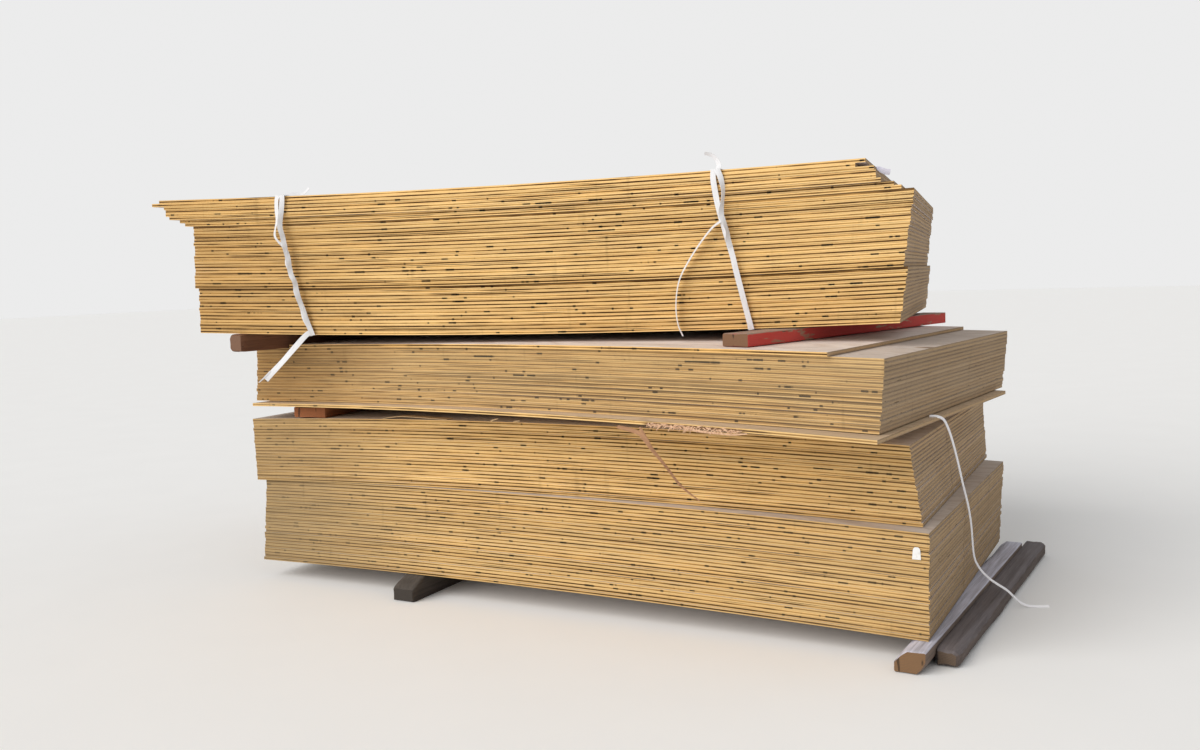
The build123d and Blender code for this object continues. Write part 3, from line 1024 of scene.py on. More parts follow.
def smooth_between(values: list[Value], steps: int) -> list[Value]:
    """Runs a smooth line through values.

    Args:
        values: Numbers or vectors, in order.
        steps: How many parts each gap is cut into.

    Returns:
        The values with the ones between them.
    """
    padded = [2 * values[0] - values[1], *values, 2 * values[-1] - values[-2]]
    run = []
    for before, here, there, after in zip(padded, padded[1:], padded[2:], padded[3:]):
        for step in range(steps):
            t = step / steps
            bend = (2 * before - 5 * here + 4 * there - after) * t**2
            bend = bend + (3 * here - before - 3 * there + after) * t**3
            run.append((2 * here + (there - before) * t + bend) * 0.5)
    return [*run, values[-1]]


def run_of(
    middles: list[Vector], twists: list[float], widths: list[float], outward: Vector
) -> list[Station]:
    """Runs a smooth band line through places.

    Args:
        middles: The places, in order.
        twists: How far the band is turned at each, in degrees. It faces outward at 0.
        widths: How wide it is at each.
        outward: The way that a flat band faces.

    Returns:
        The stations along the line.
    """
    line = smooth_between(middles, BAND_STEPS)
    angles = smooth_between([math.radians(twist) for twist in twists], BAND_STEPS)
    spans = smooth_between(widths, BAND_STEPS)
    stations = []
    for index, (middle, angle, span) in enumerate(zip(line, angles, spans)):
        before, after = line[max(index - 1, 0)], line[min(index + 1, len(line) - 1)]
        way = (after - before).normalized()
        flat = way.cross(outward).normalized()
        facing = flat.cross(way).normalized()
        stations.append(Station(middle, math.cos(angle) * flat + math.sin(angle) * facing, span))
    return stations


def lay_band(
    name: str, stations: list[Station], thickness: float = STRAP_THICKNESS, camber: float = 0.0004
) -> bpy.types.Object:
    """Models a flat band that runs through the stations.

    Args:
        name: The piece's name.
        stations: The places along the band, in order.
        thickness: How thick the band is.
        camber: How far its middle stands above its sides.

    Returns:
        The band, with a map in metres: across first, then along.
    """
    band = add_grid(name, BAND_COLUMNS, len(stations) - 1)
    lengths = [0.0]
    for here, there in zip(stations, stations[1:]):
        lengths.append(lengths[-1] + (there.middle - here.middle).length)
    rows = {}
    for vertex in band.data.vertices:
        row = round((vertex.co.y + 0.5) * (len(stations) - 1))
        rows[vertex.index] = (vertex.co.x * 2, row)
    for vertex in band.data.vertices:
        share, row = rows[vertex.index]
        station = stations[row]
        before, after = stations[max(row - 1, 0)], stations[min(row + 1, len(stations) - 1)]
        way = (after.middle - before.middle).normalized()
        side = (station.side - station.side.dot(way) * way).normalized()
        lift = way.cross(side) * camber * (share**2 - 1)
        vertex.co = station.middle + side * share * station.width / 2 + lift
    for loop, place in zip(band.data.loops, band.data.uv_layers.active.data):
        share, row = rows[loop.vertex_index]
        place.uv = (share * stations[row].width / 2, lengths[row])
    thicken(band, thickness)
    close_up(BAND_SMOOTH)
    return band


def join(name: str, parts: list[bpy.types.Object]) -> bpy.types.Object:
    """Makes one piece of several.

    Args:
        name: The piece's name.
        parts: What it is made of.

    Returns:
        The piece.
    """
    deselect()
    for part in parts:
        part.select_set(True)
    bpy.context.view_layer.objects.active = parts[0]
    if len(parts) > 1:
        bpy.ops.object.join()
    parts[0].name = parts[0].data.name = name
    return parts[0]


# ---------------------------------------------------------------- the stack's pieces

# How the lowest and the highest sheet of each group lie
LOWEST = Lay(0, 0, 0, 0.017)
BOTTOM_STEP_LOW = Lay(0, 0.032, -0.6, 0.020)
BOTTOM_STEP_HIGH = Lay(0, 0.019, 1.2, 0.0205)
BOTTOM_HIGH = Lay(0, 0.043, 0.25, 0.024)
LOWERED = Lay(-0.068, 0.026, -6.2, 0.020)
MIDDLE_LOW = Lay(-0.068, 0.083, -5.8, 0.017)
MIDDLE_HIGH = Lay(-0.068, 0.083, -5.9, 0.0155)
SHORT = Lay(-0.068, 0.083, -6.0, 0.0145)
TOP_LOW = Lay(-0.066, -0.149, 8.5, -0.0185)
TOP_STEP_LOW = Lay(-0.066, -0.171, 8.8, -0.0175)
TOP_STEP_HIGH = Lay(-0.066, -0.176, 8.8, -0.0172)
TOP_HIGH = Lay(-0.066, -0.203, 9.1, -0.016)

# How far each of the loose sheets on top sticks out to the front, from the lowest up
SHIFTED_PUSHES = (0.002, 0.004, 0.015, 0.017, 0.015, 0.018, 0.016, 0.012)

# Undersides at mid length
BOTTOM_LEVEL = 0.0813
BOTTOM_UPPER_LEVEL = 0.3832
BOTTOM_TOP_LEVEL = 0.6026
LOWERED_LEVEL = 0.6574
MIDDLE_LEVEL = 0.6688
SHORT_LEVEL = 0.8650
TOP_LEVEL = 0.9030
TOP_MAIN_LEVEL = 1.0648
SHIFTED_LEVEL = 1.2841
SHIFTED_TOP_LEVEL = 1.3650


@dataclass(frozen=True)
class SheetGroup:
    """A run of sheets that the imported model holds, and the finish they get."""

    node: str
    finish: PlywoodFinish

    def dress(self) -> None:
        """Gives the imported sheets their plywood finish."""
        dress(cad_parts[self.node], self.finish.build())
        log.info("%s: dressed", self.node)


def sheet_groups() -> list[SheetGroup]:
    """Lists the groups of sheets.

    Returns:
        The groups, from the lowest up.
    """
    finishes = {
        "bottom_lower_sheets": PlywoodFinish(
            "bottom_lower_plywood", LOWEST, BOTTOM_STEP_LOW, BOTTOM_LEVEL, 26, 1.7,
            brightness=0.88, grey_left=0.65, grey_right=0.22, grey_all=0.16,
            left_painted_shade=(0.84, 0.87, 0.92), seam=0.50, end_tone=0.95,
        ),
        "bottom_upper_sheets": PlywoodFinish(
            "bottom_upper_plywood", BOTTOM_STEP_HIGH, BOTTOM_HIGH, BOTTOM_UPPER_LEVEL, 20, 57.3,
            brightness=0.96, grey_left=0.58, grey_right=0.20, grey_all=0.06,
            left_painted_shade=(0.83, 0.83, 0.84), seam=0.50, end_tone=0.96, core_show=0.95,
            fine_lines=0.25,
        ),
        "lowered_sheet": PlywoodFinish(
            "lowered_plywood", LOWERED, LOWERED, LOWERED_LEVEL, 1, 91.1,
            brightness=0.97, grey_left=0.3, grey_right=0.2, grey_all=0.2, torn=(1.74, 2.09),
            top_pale_and_sheen=(0.74, 0.575, 0.41), top_tan_and_sheen=(0.56, 0.41, 0.275),
        ),
        "middle_sheets": PlywoodFinish(
            "middle_plywood", MIDDLE_LOW, MIDDLE_HIGH, MIDDLE_LEVEL, 17, 113.9,
            brightness=0.86, grey_left=0.12, grey_right=0.08, grey_all=0.32, end_tone=0.97,
            core_show=0.72, fine_lines=0.55, open_right=0.95,
            left_painted_shade=(0.73, 0.66, 0.57), weathered=(0.42, 0.315, 0.205),
        ),
        # The short sheet is a little lighter, partly as painted light on its top face
        "short_sheet": PlywoodFinish(
            "short_plywood", SHORT, SHORT, SHORT_LEVEL, 1, 151.3,
            brightness=1.08, grey_left=0.3, grey_right=0.1, grey_all=0.05,
        ),
        "top_lower_sheets": PlywoodFinish(
            "top_lower_plywood", TOP_LOW, TOP_STEP_LOW, TOP_LEVEL, 14, 171.7,
            grey_left=0.12, grey_right=0.08, left_painted_shade=(0.79, 0.74, 0.68), top_line_shade=0.9, end_tone=0.82,
        ),
        "top_main_sheets": PlywoodFinish(
            "top_main_plywood", TOP_STEP_HIGH, TOP_HIGH, TOP_MAIN_LEVEL, 19, 203.1,
            grey_left=0.12, grey_right=0.08, left_painted_shade=(0.79, 0.74, 0.68), top_line_shade=0.9, end_tone=0.82,
        ),
        "shifted_sheets": PlywoodFinish(
            "shifted_plywood", TOP_HIGH, TOP_HIGH, SHIFTED_LEVEL, 8, 239.9,
            grey_left=0.10, grey_right=0.10, left_painted_shade=(0.86, 0.82, 0.76), end_tone=0.82,
        ),
    }
    return [SheetGroup(node, finish) for node, finish in finishes.items()]


# Timbers
BEARER_WIDTH = 0.089
GROUND_LENGTH = 1.330
LOWER_LENGTH = 1.180
UPPER_LENGTH = 1.310


@dataclass(frozen=True)
class Wane:
    """How much of a timber's corner is missing, across and up."""

    across: float = 0.003
    up: float = 0.003


@dataclass(frozen=True)
class WornTimber:
    """A used timber: its corners are worn or waned, and its near end may be worn down.

    The wear is how deep its faces are pitted. The near end is rounded by near_round, and
    its top hangs by near_drop there. Its cut ends are closed by two rows of faces.
    """

    node: str
    slot: Slot
    finish: TimberFinish
    low_left: Wane = Wane()
    low_right: Wane = Wane()
    high_right: Wane = Wane()
    high_left: Wane = Wane()
    wear: float = 0.0010
    near_round: float = 0.002
    near_drop: float = 0.0
    drop_reach: float = 0.075
    drop_curve: float = 1.3
    end_skew: float = 0.0025
    least_wane: float = 0.0012
    roundness: float = 0.35
    closing_size: float = 0.55
    rows: int = 90
    row_curve: float = 1.15
    closing_rows: int = 2
    corner_steps: int = 4
    face_steps: int = 6

    def section(self, amount: float) -> list[tuple[float, float]]:
        """Runs round the timber's section, from its low left corner.

        Args:
            amount: How much of the wane there is here, 1 for all of it.

        Returns:
            The section's points, across and up from its low left corner.
        """
        width, height = self.finish.width, self.finish.height
        corners = (
            (0.0, 0.0, 1, 1, self.low_left, True),
            (width, 0.0, -1, 1, self.low_right, False),
            (width, height, -1, -1, self.high_right, True),
            (0.0, height, 1, -1, self.high_left, False),
        )
        arcs = []
        for x, z, way_x, way_z, wane, flips in corners:
            size_x = max(wane.across * amount, self.least_wane)
            size_z = max(wane.up * amount, self.least_wane)
            arc = []
            for step in range(self.corner_steps + 1):
                angle = math.pi / 2 * step / self.corner_steps
                flat = step / self.corner_steps
                straight = 1 - self.roundness
                share_x = self.roundness * (1 - math.sin(angle)) + straight * (1 - flat)
                share_z = self.roundness * (1 - math.cos(angle)) + straight * flat
                arc.append((x + way_x * size_x * share_x, z + way_z * size_z * share_z))
            arcs.append(arc[::-1] if flips else arc)
        points = []
        for arc, following in zip(arcs, arcs[1:] + arcs[:1]):
            points += arc
            start, end = Vector(arc[-1]), Vector(following[0])
            points += [
                tuple(start.lerp(end, step / self.face_steps)) for step in range(1, self.face_steps)
            ]
        return points

    def wane_share(self, run: float) -> float:
        """How much of its full wane the timber has at this distance from its near end."""
        return 0.75 + 0.5 * noise.noise(Vector((run * 2.3, self.finish.seed, 0.0)))

    def worn_by(self, point: Vector, row: int, run: float) -> float:
        """How deep the timber is worn at a place.

        Args:
            point: The place in its section.
            row: Which row of the tube it is in.
            run: How far that is from the near end.

        Returns:
            The depth.
        """
        place = Vector((point.x * 26 + self.finish.seed, run * 5, point.y * 26))
        rough = 0.5 + 0.5 * noise.noise(place) + 0.35 * noise.noise(place * 5)
        depth = max(rough, 0.0) * self.wear
        if row <= self.closing_rows:
            depth += self.near_round
        elif run < self.near_round * 2:
            depth += self.near_round * 0.3
        return depth

    def build(self) -> bpy.types.Object:
        """Models the timber as a tube of worn sections with closed ends.

        Returns:
            The timber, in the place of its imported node.
        """
        finish = self.finish
        count = len(self.section(1.0))
        total = self.rows + 2 * self.closing_rows
        timber = add_grid(finish.name, count, total)
        middle = Vector((finish.width / 2, finish.height / 2))
        shares = [max(row - self.closing_rows, 0) / self.rows for row in range(total + 1)]
        runs = [finish.length * min(share, 1.0) ** self.row_curve for share in shares]
        sections = [self.section(self.wane_share(run)) for run in runs]
        sizes = {0: 0.0, 1: self.closing_size, total - 1: self.closing_size, total: 0.0}
        for vertex in timber.data.vertices:
            column = round((vertex.co.x + 0.5) * count) % count
            row = round((vertex.co.y + 0.5) * total)
            run, point = runs[row], Vector(sections[row][column])
            from_middle = point - middle
            point -= from_middle.normalized() * self.worn_by(point, row, run)
            point = middle + (point - middle) * sizes.get(row, 1.0)
            fall = max(1 - run / self.drop_reach, 0.0) ** self.drop_curve
            drop = self.near_drop * fall * point.y / finish.height
            saw_cut = noise.noise(Vector((point.x * 30, point.y * 30, finish.seed)))
            skew = (0.5 + 0.5 * saw_cut) * self.end_skew
            end = run + skew if row < total / 2 else run - skew
            vertex.co = finish.lay.point(point.x, end, finish.foot + point.y - drop)
        close_up(WORN_SMOOTH, weld=WELD)
        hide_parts(self.node)
        return settle(timber, finish.build())


def worn_timbers() -> list[WornTimber]:
    """Lists the timbers under and between the bundles.

    Returns:
        The timbers, from the ground up.
    """
    # The right ground bearer's top: weathered grey, lightened and blued as painted skylight where
    # the stack shades it
    grey = (0.82, 0.82, 0.95)
    return [
        WornTimber(
            "left_ground_bearer", Slot.WEATHERED_TIMBER,
            TimberFinish(
                "left_ground_timber", Lay(0.655, -0.070, 0.5), 0, BEARER_WIDTH, 0.077,
                GROUND_LENGTH, (0.085, 0.068, 0.055), (0.03, 0.024, 0.02), (0.06, 0.050, 0.042),
                (0.12, 0.105, 0.092), seed=3.1,
            ),
            high_left=Wane(0.016, 0.012), high_right=Wane(0.006, 0.008), near_round=0.005,
            near_drop=0.032,
        ),
        WornTimber(
            "right_ground_bearer", Slot.WEATHERED_TIMBER,
            TimberFinish(
                "right_ground_timber", Lay(2.362, -0.092, -2.8), 0, BEARER_WIDTH, 0.064,
                GROUND_LENGTH, (0.25, 0.185, 0.145), (0.095, 0.072, 0.065), (0.25, 0.135, 0.058),
                grey, top_share=0.95, seed=7.7,
            ),
            low_right=Wane(0.030, 0.042), high_left=Wane(0.044, 0.044), near_round=0.003,
            wear=0.0014,
        ),
        WornTimber(
            "spare_ground_timber", Slot.WEATHERED_TIMBER,
            TimberFinish(
                "spare_timber", Lay(2.362 + 0.0894, -0.005, -2.8), 0, 0.070, 0.051, GROUND_LENGTH,
                (0.15, 0.115, 0.10), (0.045, 0.035, 0.032), (0.16, 0.11, 0.075),
                (0.21, 0.185, 0.19), top_share=0.7, seed=12.9,
            ),
            low_right=Wane(0.010, 0.014), high_right=Wane(0.024, 0.018),
            high_left=Wane(0.008, 0.006), near_round=0.010, wear=0.0032,
        ),
        WornTimber(
            "left_lower_bearer", Slot.REDDISH_TIMBER,
            TimberFinish(
                "left_lower_timber", Lay(0.150, 0.036, 6.0), 0.600, 0.140, 0.038, LOWER_LENGTH,
                (0.36, 0.13, 0.05), (0.15, 0.048, 0.018), (0.36, 0.13, 0.05), (0.36, 0.15, 0.065),
                top_share=0.2, seed=21.3,
            ),
            low_left=Wane(0.006, 0.008),
        ),
        WornTimber(
            "right_lower_bearer", Slot.REDDISH_TIMBER,
            TimberFinish(
                "right_lower_timber", Lay(2.130, 0.060, 2.0), 0.600, BEARER_WIDTH, 0.0406,
                LOWER_LENGTH, (0.42, 0.20, 0.10), (0.17, 0.07, 0.03), (0.43, 0.20, 0.10),
                (0.40, 0.22, 0.12), top_share=0.2, seed=33.3,
            ),
        ),
        WornTimber(
            "left_upper_bearer", Slot.REDDISH_TIMBER,
            TimberFinish(
                # Its long faces are its own dark brown, darkened further as painted shade between
                # the bundles
                "left_upper_timber", Lay(0.041, -0.150, -2.5), 0.853, 0.064, 0.064, UPPER_LENGTH,
                (0.24, 0.112, 0.062), (0.07, 0.030, 0.017), (0.25, 0.140, 0.088),
                (0.26, 0.14, 0.085), top_share=0.2, seed=41.9,
            ),
            low_left=Wane(0.014, 0.016), high_left=Wane(0.012, 0.018), near_round=0.005,
            wear=0.0022,
        ),
        WornTimber(
            "right_upper_bearer", Slot.PAINTED_TIMBER,
            TimberFinish(
                "right_upper_timber", Lay(1.880, -0.066, -12.7), 0.8711, BEARER_WIDTH, 0.038,
                UPPER_LENGTH, (0.45, 0.30, 0.21), (0.20, 0.10, 0.06), (0.22, 0.12, 0.065),
                (0.40, 0.33, 0.29), paint=(0.56, 0.045, 0.035), paint_wear=0.42, seed=55.5,
            ),
        ),
    ]


@dataclass(frozen=True)
class Turn:
    """A place on a strap's front run.

    The rise is from 0 at the foot to 1 at the head. The shift is to the right along the
    front and the clearance out from the ring's face. The twist is in degrees, 0 flat.
    """

    rise: float
    shift: float
    clearance: float
    twist: float
    width: float = STRAP_WIDTH


@dataclass(frozen=True)
class Bend:
    """A place on a free end, in the frame of the top bundle's front.

    It is along the front, up, and out from the front line. The twist is in degrees, 0
    where the band faces to the front.
    """

    along: float
    height: float
    out: float
    twist: float
    width: float = STRAP_WIDTH


@dataclass(frozen=True)
class StrapRun:
    """A strap round the top bundle, in a plane that leans to the left as it rises."""

    name: str
    node: str
    along: float
    lean: float
    foot: float
    head: float
    strands: tuple[tuple[Turn, ...], ...]
    free_ends: tuple[tuple[Bend, ...], ...]
    finish: StrapFinish
    foot_front: float = -0.0055
    head_stand: float = 0.0035
    back_slack: float = 0.0055
    lap: float = 0.012
    corner_size: float = 0.006
    corner_steps: int = 5

    @property
    def crown_along(self) -> float:
        """Where the strap crosses the top sheet's front edge."""
        return self.along - math.tan(math.radians(self.lean)) * (SHIFTED_TOP_LEVEL - TOP_LEVEL)

    @property
    def head_front(self) -> float:
        """Finds how far forward the loose sheets push the strap's head.

        Returns:
            How far behind the bundle's front line the head is.
        """
        sheets = [replace(TOP_HIGH, push=push) for push in SHIFTED_PUSHES]
        fronts = [front_across(TOP_LOW, sheet, self.crown_along) for sheet in sheets]
        return min(fronts) - self.head_stand

    def place(self, across: float, height: float, shift: float = 0.0) -> Vector:
        """Finds a point in the strap's leaning plane.

        Args:
            across: How far behind the bundle's front line it is.
            height: How high it is.
            shift: How far to the right of the plane it is.

        Returns:
            The point.
        """
        along = self.along - math.tan(math.radians(self.lean)) * (height - self.foot)
        return TOP_LOW.point(along + shift, across, height)

    def front(self, height: float) -> float:
        """Finds where the ring's face is.

        Args:
            height: The height that it is looked for at.

        Returns:
            How far behind the bundle's front line it is.
        """
        ledge = SHIFTED_LEVEL - 0.0003
        share = min((height - self.foot) / (ledge - self.foot), 1.0)
        return self.foot_front + (self.head_front - self.foot_front) * share

    def way_across(self) -> Vector:
        """The way across the strap's width where it lies flat."""
        lean = math.radians(self.lean)
        return math.cos(lean) * TOP_LOW.right + Vector((0, 0, math.sin(lean)))

    def ring(self) -> bpy.types.Object:
        """Models the run over the top, down the back and under the bundle.

        Returns:
            The run, with its corners rounded.
        """
        half = STRAP_THICKNESS / 2
        top_back = front_across(TOP_LOW, TOP_HIGH, self.crown_along)
        head, foot = self.head_front + half, self.foot_front + half
        corners = [
            (head, self.head - self.lap),
            (head, self.head - half),
            (SHEET_WIDTH + top_back + self.back_slack - half, self.head - half),
            (SHEET_WIDTH + self.back_slack - half, self.foot + half),
            (foot, self.foot + half),
            (foot, self.foot + self.lap),
        ]
        line = [Vector(corners[0])]
        for before, here, after in zip(corners, corners[1:], corners[2:]):
            corner = Vector(here)
            start = corner + (Vector(before) - corner).normalized() * self.corner_size
            end = corner + (Vector(after) - corner).normalized() * self.corner_size
            for step in range(self.corner_steps + 1):
                t = step / self.corner_steps
                line.append(start * (1 - t) ** 2 + corner * 2 * t * (1 - t) + end * t**2)
        line.append(Vector(corners[-1]))
        side = self.way_across()
        stations = [Station(self.place(across, height), side) for across, height in line]
        return lay_band(self.name + "_ring", stations, camber=0.0)

    def strand(self, index: int) -> bpy.types.Object:
        """Models one ply of the front run, with the twists it has there.

        Args:
            index: Which of the strands it is.

        Returns:
            The ply.
        """
        middles, twists, widths = [], [], []
        for turn in self.strands[index]:
            height = self.foot + turn.rise * (self.head - self.foot)
            middles.append(self.place(self.front(height) - turn.clearance, height, turn.shift))
            twists.append(turn.twist)
            widths.append(turn.width)
        stations = run_of(middles, twists, widths, -TOP_LOW.back)
        return lay_band(f"{self.name}_strand_{index}", stations)

    def free_end(self, index: int) -> bpy.types.Object:
        """Models one of the strap's loose ends.

        Args:
            index: Which of the free ends it is.

        Returns:
            The end.
        """
        bends = self.free_ends[index]
        middles = [TOP_LOW.point(bend.along, -bend.out, bend.height) for bend in bends]
        twists, widths = [bend.twist for bend in bends], [bend.width for bend in bends]
        stations = run_of(middles, twists, widths, -TOP_LOW.back)
        return lay_band(f"{self.name}_end_{index}", stations)

    def build(self) -> bpy.types.Object:
        """Models the whole strap as one piece.

        Returns:
            The strap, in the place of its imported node.
        """
        parts = [self.ring(), *(self.strand(index) for index in range(len(self.strands)))]
        parts += [self.free_end(index) for index in range(len(self.free_ends))]
        strap = join(self.name, parts)
        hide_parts(self.node)
        return settle(strap, self.finish.build())


def front_straps() -> list[StrapRun]:
    """Lists the straps round the top bundle.

    Returns:
        The left one and the right one.
    """
    left_front = (
        Turn(1.0, -0.01, 0.001, 0),
        Turn(0.97, -0.016, 0.003, -8),
        Turn(0.9, -0.021, 0.004, -10),
        Turn(0.83, -0.023, 0.006, -24),
        Turn(0.775, -0.032, 0.01, -34, 0.014),
        Turn(0.72, -0.041, 0.012, -24, 0.013),
        Turn(0.68, -0.034, 0.012, -36, 0.014),
        Turn(0.65, -0.022, 0.01, -30),
        Turn(0.617, -0.016, 0.01, -16),
        Turn(0.575, -0.0165, 0.01, -36),
        Turn(0.518, -0.022, 0.011, -16),
        Turn(0.46, -0.02, 0.011, -48, 0.015),
        Turn(0.417, -0.012, 0.01, -18),
        Turn(0.374, -0.01, 0.01, -44, 0.015),
        Turn(0.331, -0.016, 0.01, -14),
        Turn(0.273, -0.013, 0.009, -6, 0.018),
        Turn(0.2, -0.009, 0.008, -20, 0.019),
        Turn(0.128, -0.0095, 0.006, -4, 0.018),
        Turn(0.07, -0.004, 0.004, -14),
        Turn(0.0, 0.004, 0.0015, 0),
    )
    left_back = (
        Turn(1.0, 0.008, 0.003, 6),
        Turn(0.96, 0.006, 0.005, 14),
        Turn(0.9, 0.0, 0.007, 26),
        Turn(0.83, -0.009, 0.009, 46),
        Turn(0.774, -0.013, 0.012, 40),
        Turn(0.717, -0.01, 0.014, 50),
        Turn(0.667, -0.011, 0.014, 30),
        Turn(0.617, -0.0115, 0.014, 54),
        Turn(0.56, -0.01, 0.014, 34),
        Turn(0.5, -0.012, 0.015, 52),
        Turn(0.44, -0.013, 0.015, 24),
        Turn(0.39, -0.006, 0.015, 56),
        Turn(0.33, -0.008, 0.014, 30),
        Turn(0.26, -0.007, 0.013, 48),
        Turn(0.18, -0.003, 0.01, 20),
        Turn(0.1, -0.001, 0.007, 32),
        Turn(0.0, 0.006, 0.004, 8),
    )
    right_front = (
        Turn(1.0, -0.01, 0.001, 0),
        Turn(0.95, -0.016, 0.002, -4),
        Turn(0.874, -0.0174, 0.004, 6),
        Turn(0.78, -0.017, 0.005, -10),
        Turn(0.7, -0.016, 0.006, -24),
        Turn(0.625, -0.012, 0.006, -12),
        Turn(0.563, -0.009, 0.006, 10),
        Turn(0.45, -0.006, 0.004, -4),
        Turn(0.376, -0.0054, 0.004, 4),
        Turn(0.188, -0.002, 0.002, -3),
        Turn(0.0, 0.002, 0.001, 0),
    )
    right_back = (
        Turn(1.0, 0.0, 0.003, 8),
        Turn(0.944, 0.007, 0.006, 30),
        Turn(0.87, 0.009, 0.012, 62),
        Turn(0.81, 0.003, 0.014, 70),
        Turn(0.761, -0.006, 0.012, 52),
        Turn(0.712, -0.012, 0.01, 30),
        Turn(0.662, -0.007, 0.012, 56),
        Turn(0.612, -0.004, 0.012, 66),
        Turn(0.563, -0.008, 0.01, 40),
        Turn(0.52, -0.009, 0.008, 14, 0.012),
    )
    hanging_end = (
        Bend(0.447, 0.92, 0.01, 10),
        Bend(0.4285, 0.9108, 0.016, 14, 0.018),
        Bend(0.3883, 0.8734, 0.021, 4, 0.02),
        Bend(0.3346, 0.8219, 0.025, -6, 0.02),
        Bend(0.2864, 0.7801, 0.026, 4, 0.02),
        Bend(0.26, 0.756, 0.026, 14, 0.019),
    )
    frayed_tip = (
        Bend(0.282, 0.786, 0.028, 20, 0.006),
        Bend(0.256, 0.764, 0.03, 30, 0.005),
        Bend(0.233, 0.747, 0.03, 40, 0.003),
    )
    lying_end = (
        Bend(0.378, 1.388, 0.048, 70),
        Bend(0.395, 1.3905, 0.044, 64),
        Bend(0.415, 1.3915, 0.04, 58),
        Bend(0.435, 1.39, 0.036, 54),
        Bend(0.4548, 1.3895, 0.034, 48, 0.015),
        Bend(0.4676, 1.396, 0.032, 34, 0.013),
        Bend(0.4805, 1.4085, 0.03, 26, 0.011),
    )
    standing_end = (
        Bend(1.8935, 1.364, 0.044, 10),
        Bend(1.899, 1.38, 0.05, 16),
        Bend(1.9024, 1.3953, 0.05, 22, 0.0165),
        Bend(1.8938, 1.413, 0.048, 30, 0.015),
        Bend(1.8791, 1.4265, 0.048, 36, 0.014),
        Bend(1.86, 1.432, 0.05, 42, 0.012),
    )
    curved_end = (
        Bend(1.912, 1.236, 0.05, -30, 0.011),
        Bend(1.9027, 1.2298, 0.052, -48, 0.0125),
        Bend(1.8767, 1.2117, 0.05, -58, 0.0138),
        Bend(1.839, 1.1691, 0.046, -60, 0.0138),
        Bend(1.8003, 1.1159, 0.041, -60, 0.0138),
        Bend(1.7719, 1.0671, 0.036, -60, 0.0138),
        Bend(1.7591, 1.0222, 0.031, -62, 0.0138),
        Bend(1.7539, 0.9716, 0.025, -62, 0.0138),
        Bend(1.7578, 0.925, 0.018, -60, 0.0125),
        Bend(1.77, 0.891, 0.012, -56, 0.011),
    )
    return [
        StrapRun(
            "left_strap_band", "left_strap", 0.444, 6.0, 0.9084, 1.3855,
            (left_front, left_back), (hanging_end, frayed_tip, lying_end),
            StrapFinish("left_strap_plastic"),
        ),
        StrapRun(
            "right_strap_band", "right_strap", 1.979, 9.7, 0.9076, 1.3837,
            (right_front, right_back), (standing_end, curved_end),
            StrapFinish("right_strap_plastic"),
        ),
    ]


@dataclass(frozen=True)
class EndStrap:
    """The end of a lengthwise strap, which twists where it leaves the loose sheets.

    Each place on its run is along the top sheet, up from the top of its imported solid, and
    a twist in degrees.
    """

    across: float = 0.060
    run: tuple[tuple[float, float, float], ...] = (
        (2.3060, -0.0003, 90),
        (2.3250, -0.0003, 90),
        (2.3440, 0.0002, 88),
        (2.3560, -0.0015, 62),
        (2.3660, -0.0075, 24),
        (2.3780, -0.0135, 6),
        (2.3925, -0.0165, 2),
    )
    finish: StrapFinish = StrapFinish(
        "end_strap_plastic", (0.74, 0.72, 0.82), (0.55, 0.54, 0.66)
    )

    def build(self) -> bpy.types.Object:
        """Models the strap's end.

        Returns:
            The end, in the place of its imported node.
        """
        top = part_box("end_strap")[1].z
        middles = [TOP_HIGH.point(along, self.across, top + rise) for along, rise, _ in self.run]
        twists = [twist for *_, twist in self.run]
        stations = run_of(middles, twists, [STRAP_WIDTH] * len(self.run), -TOP_HIGH.back)
        strap = lay_band("end_strap_band", stations)
        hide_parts("end_strap")
        return settle(strap, self.finish.build())


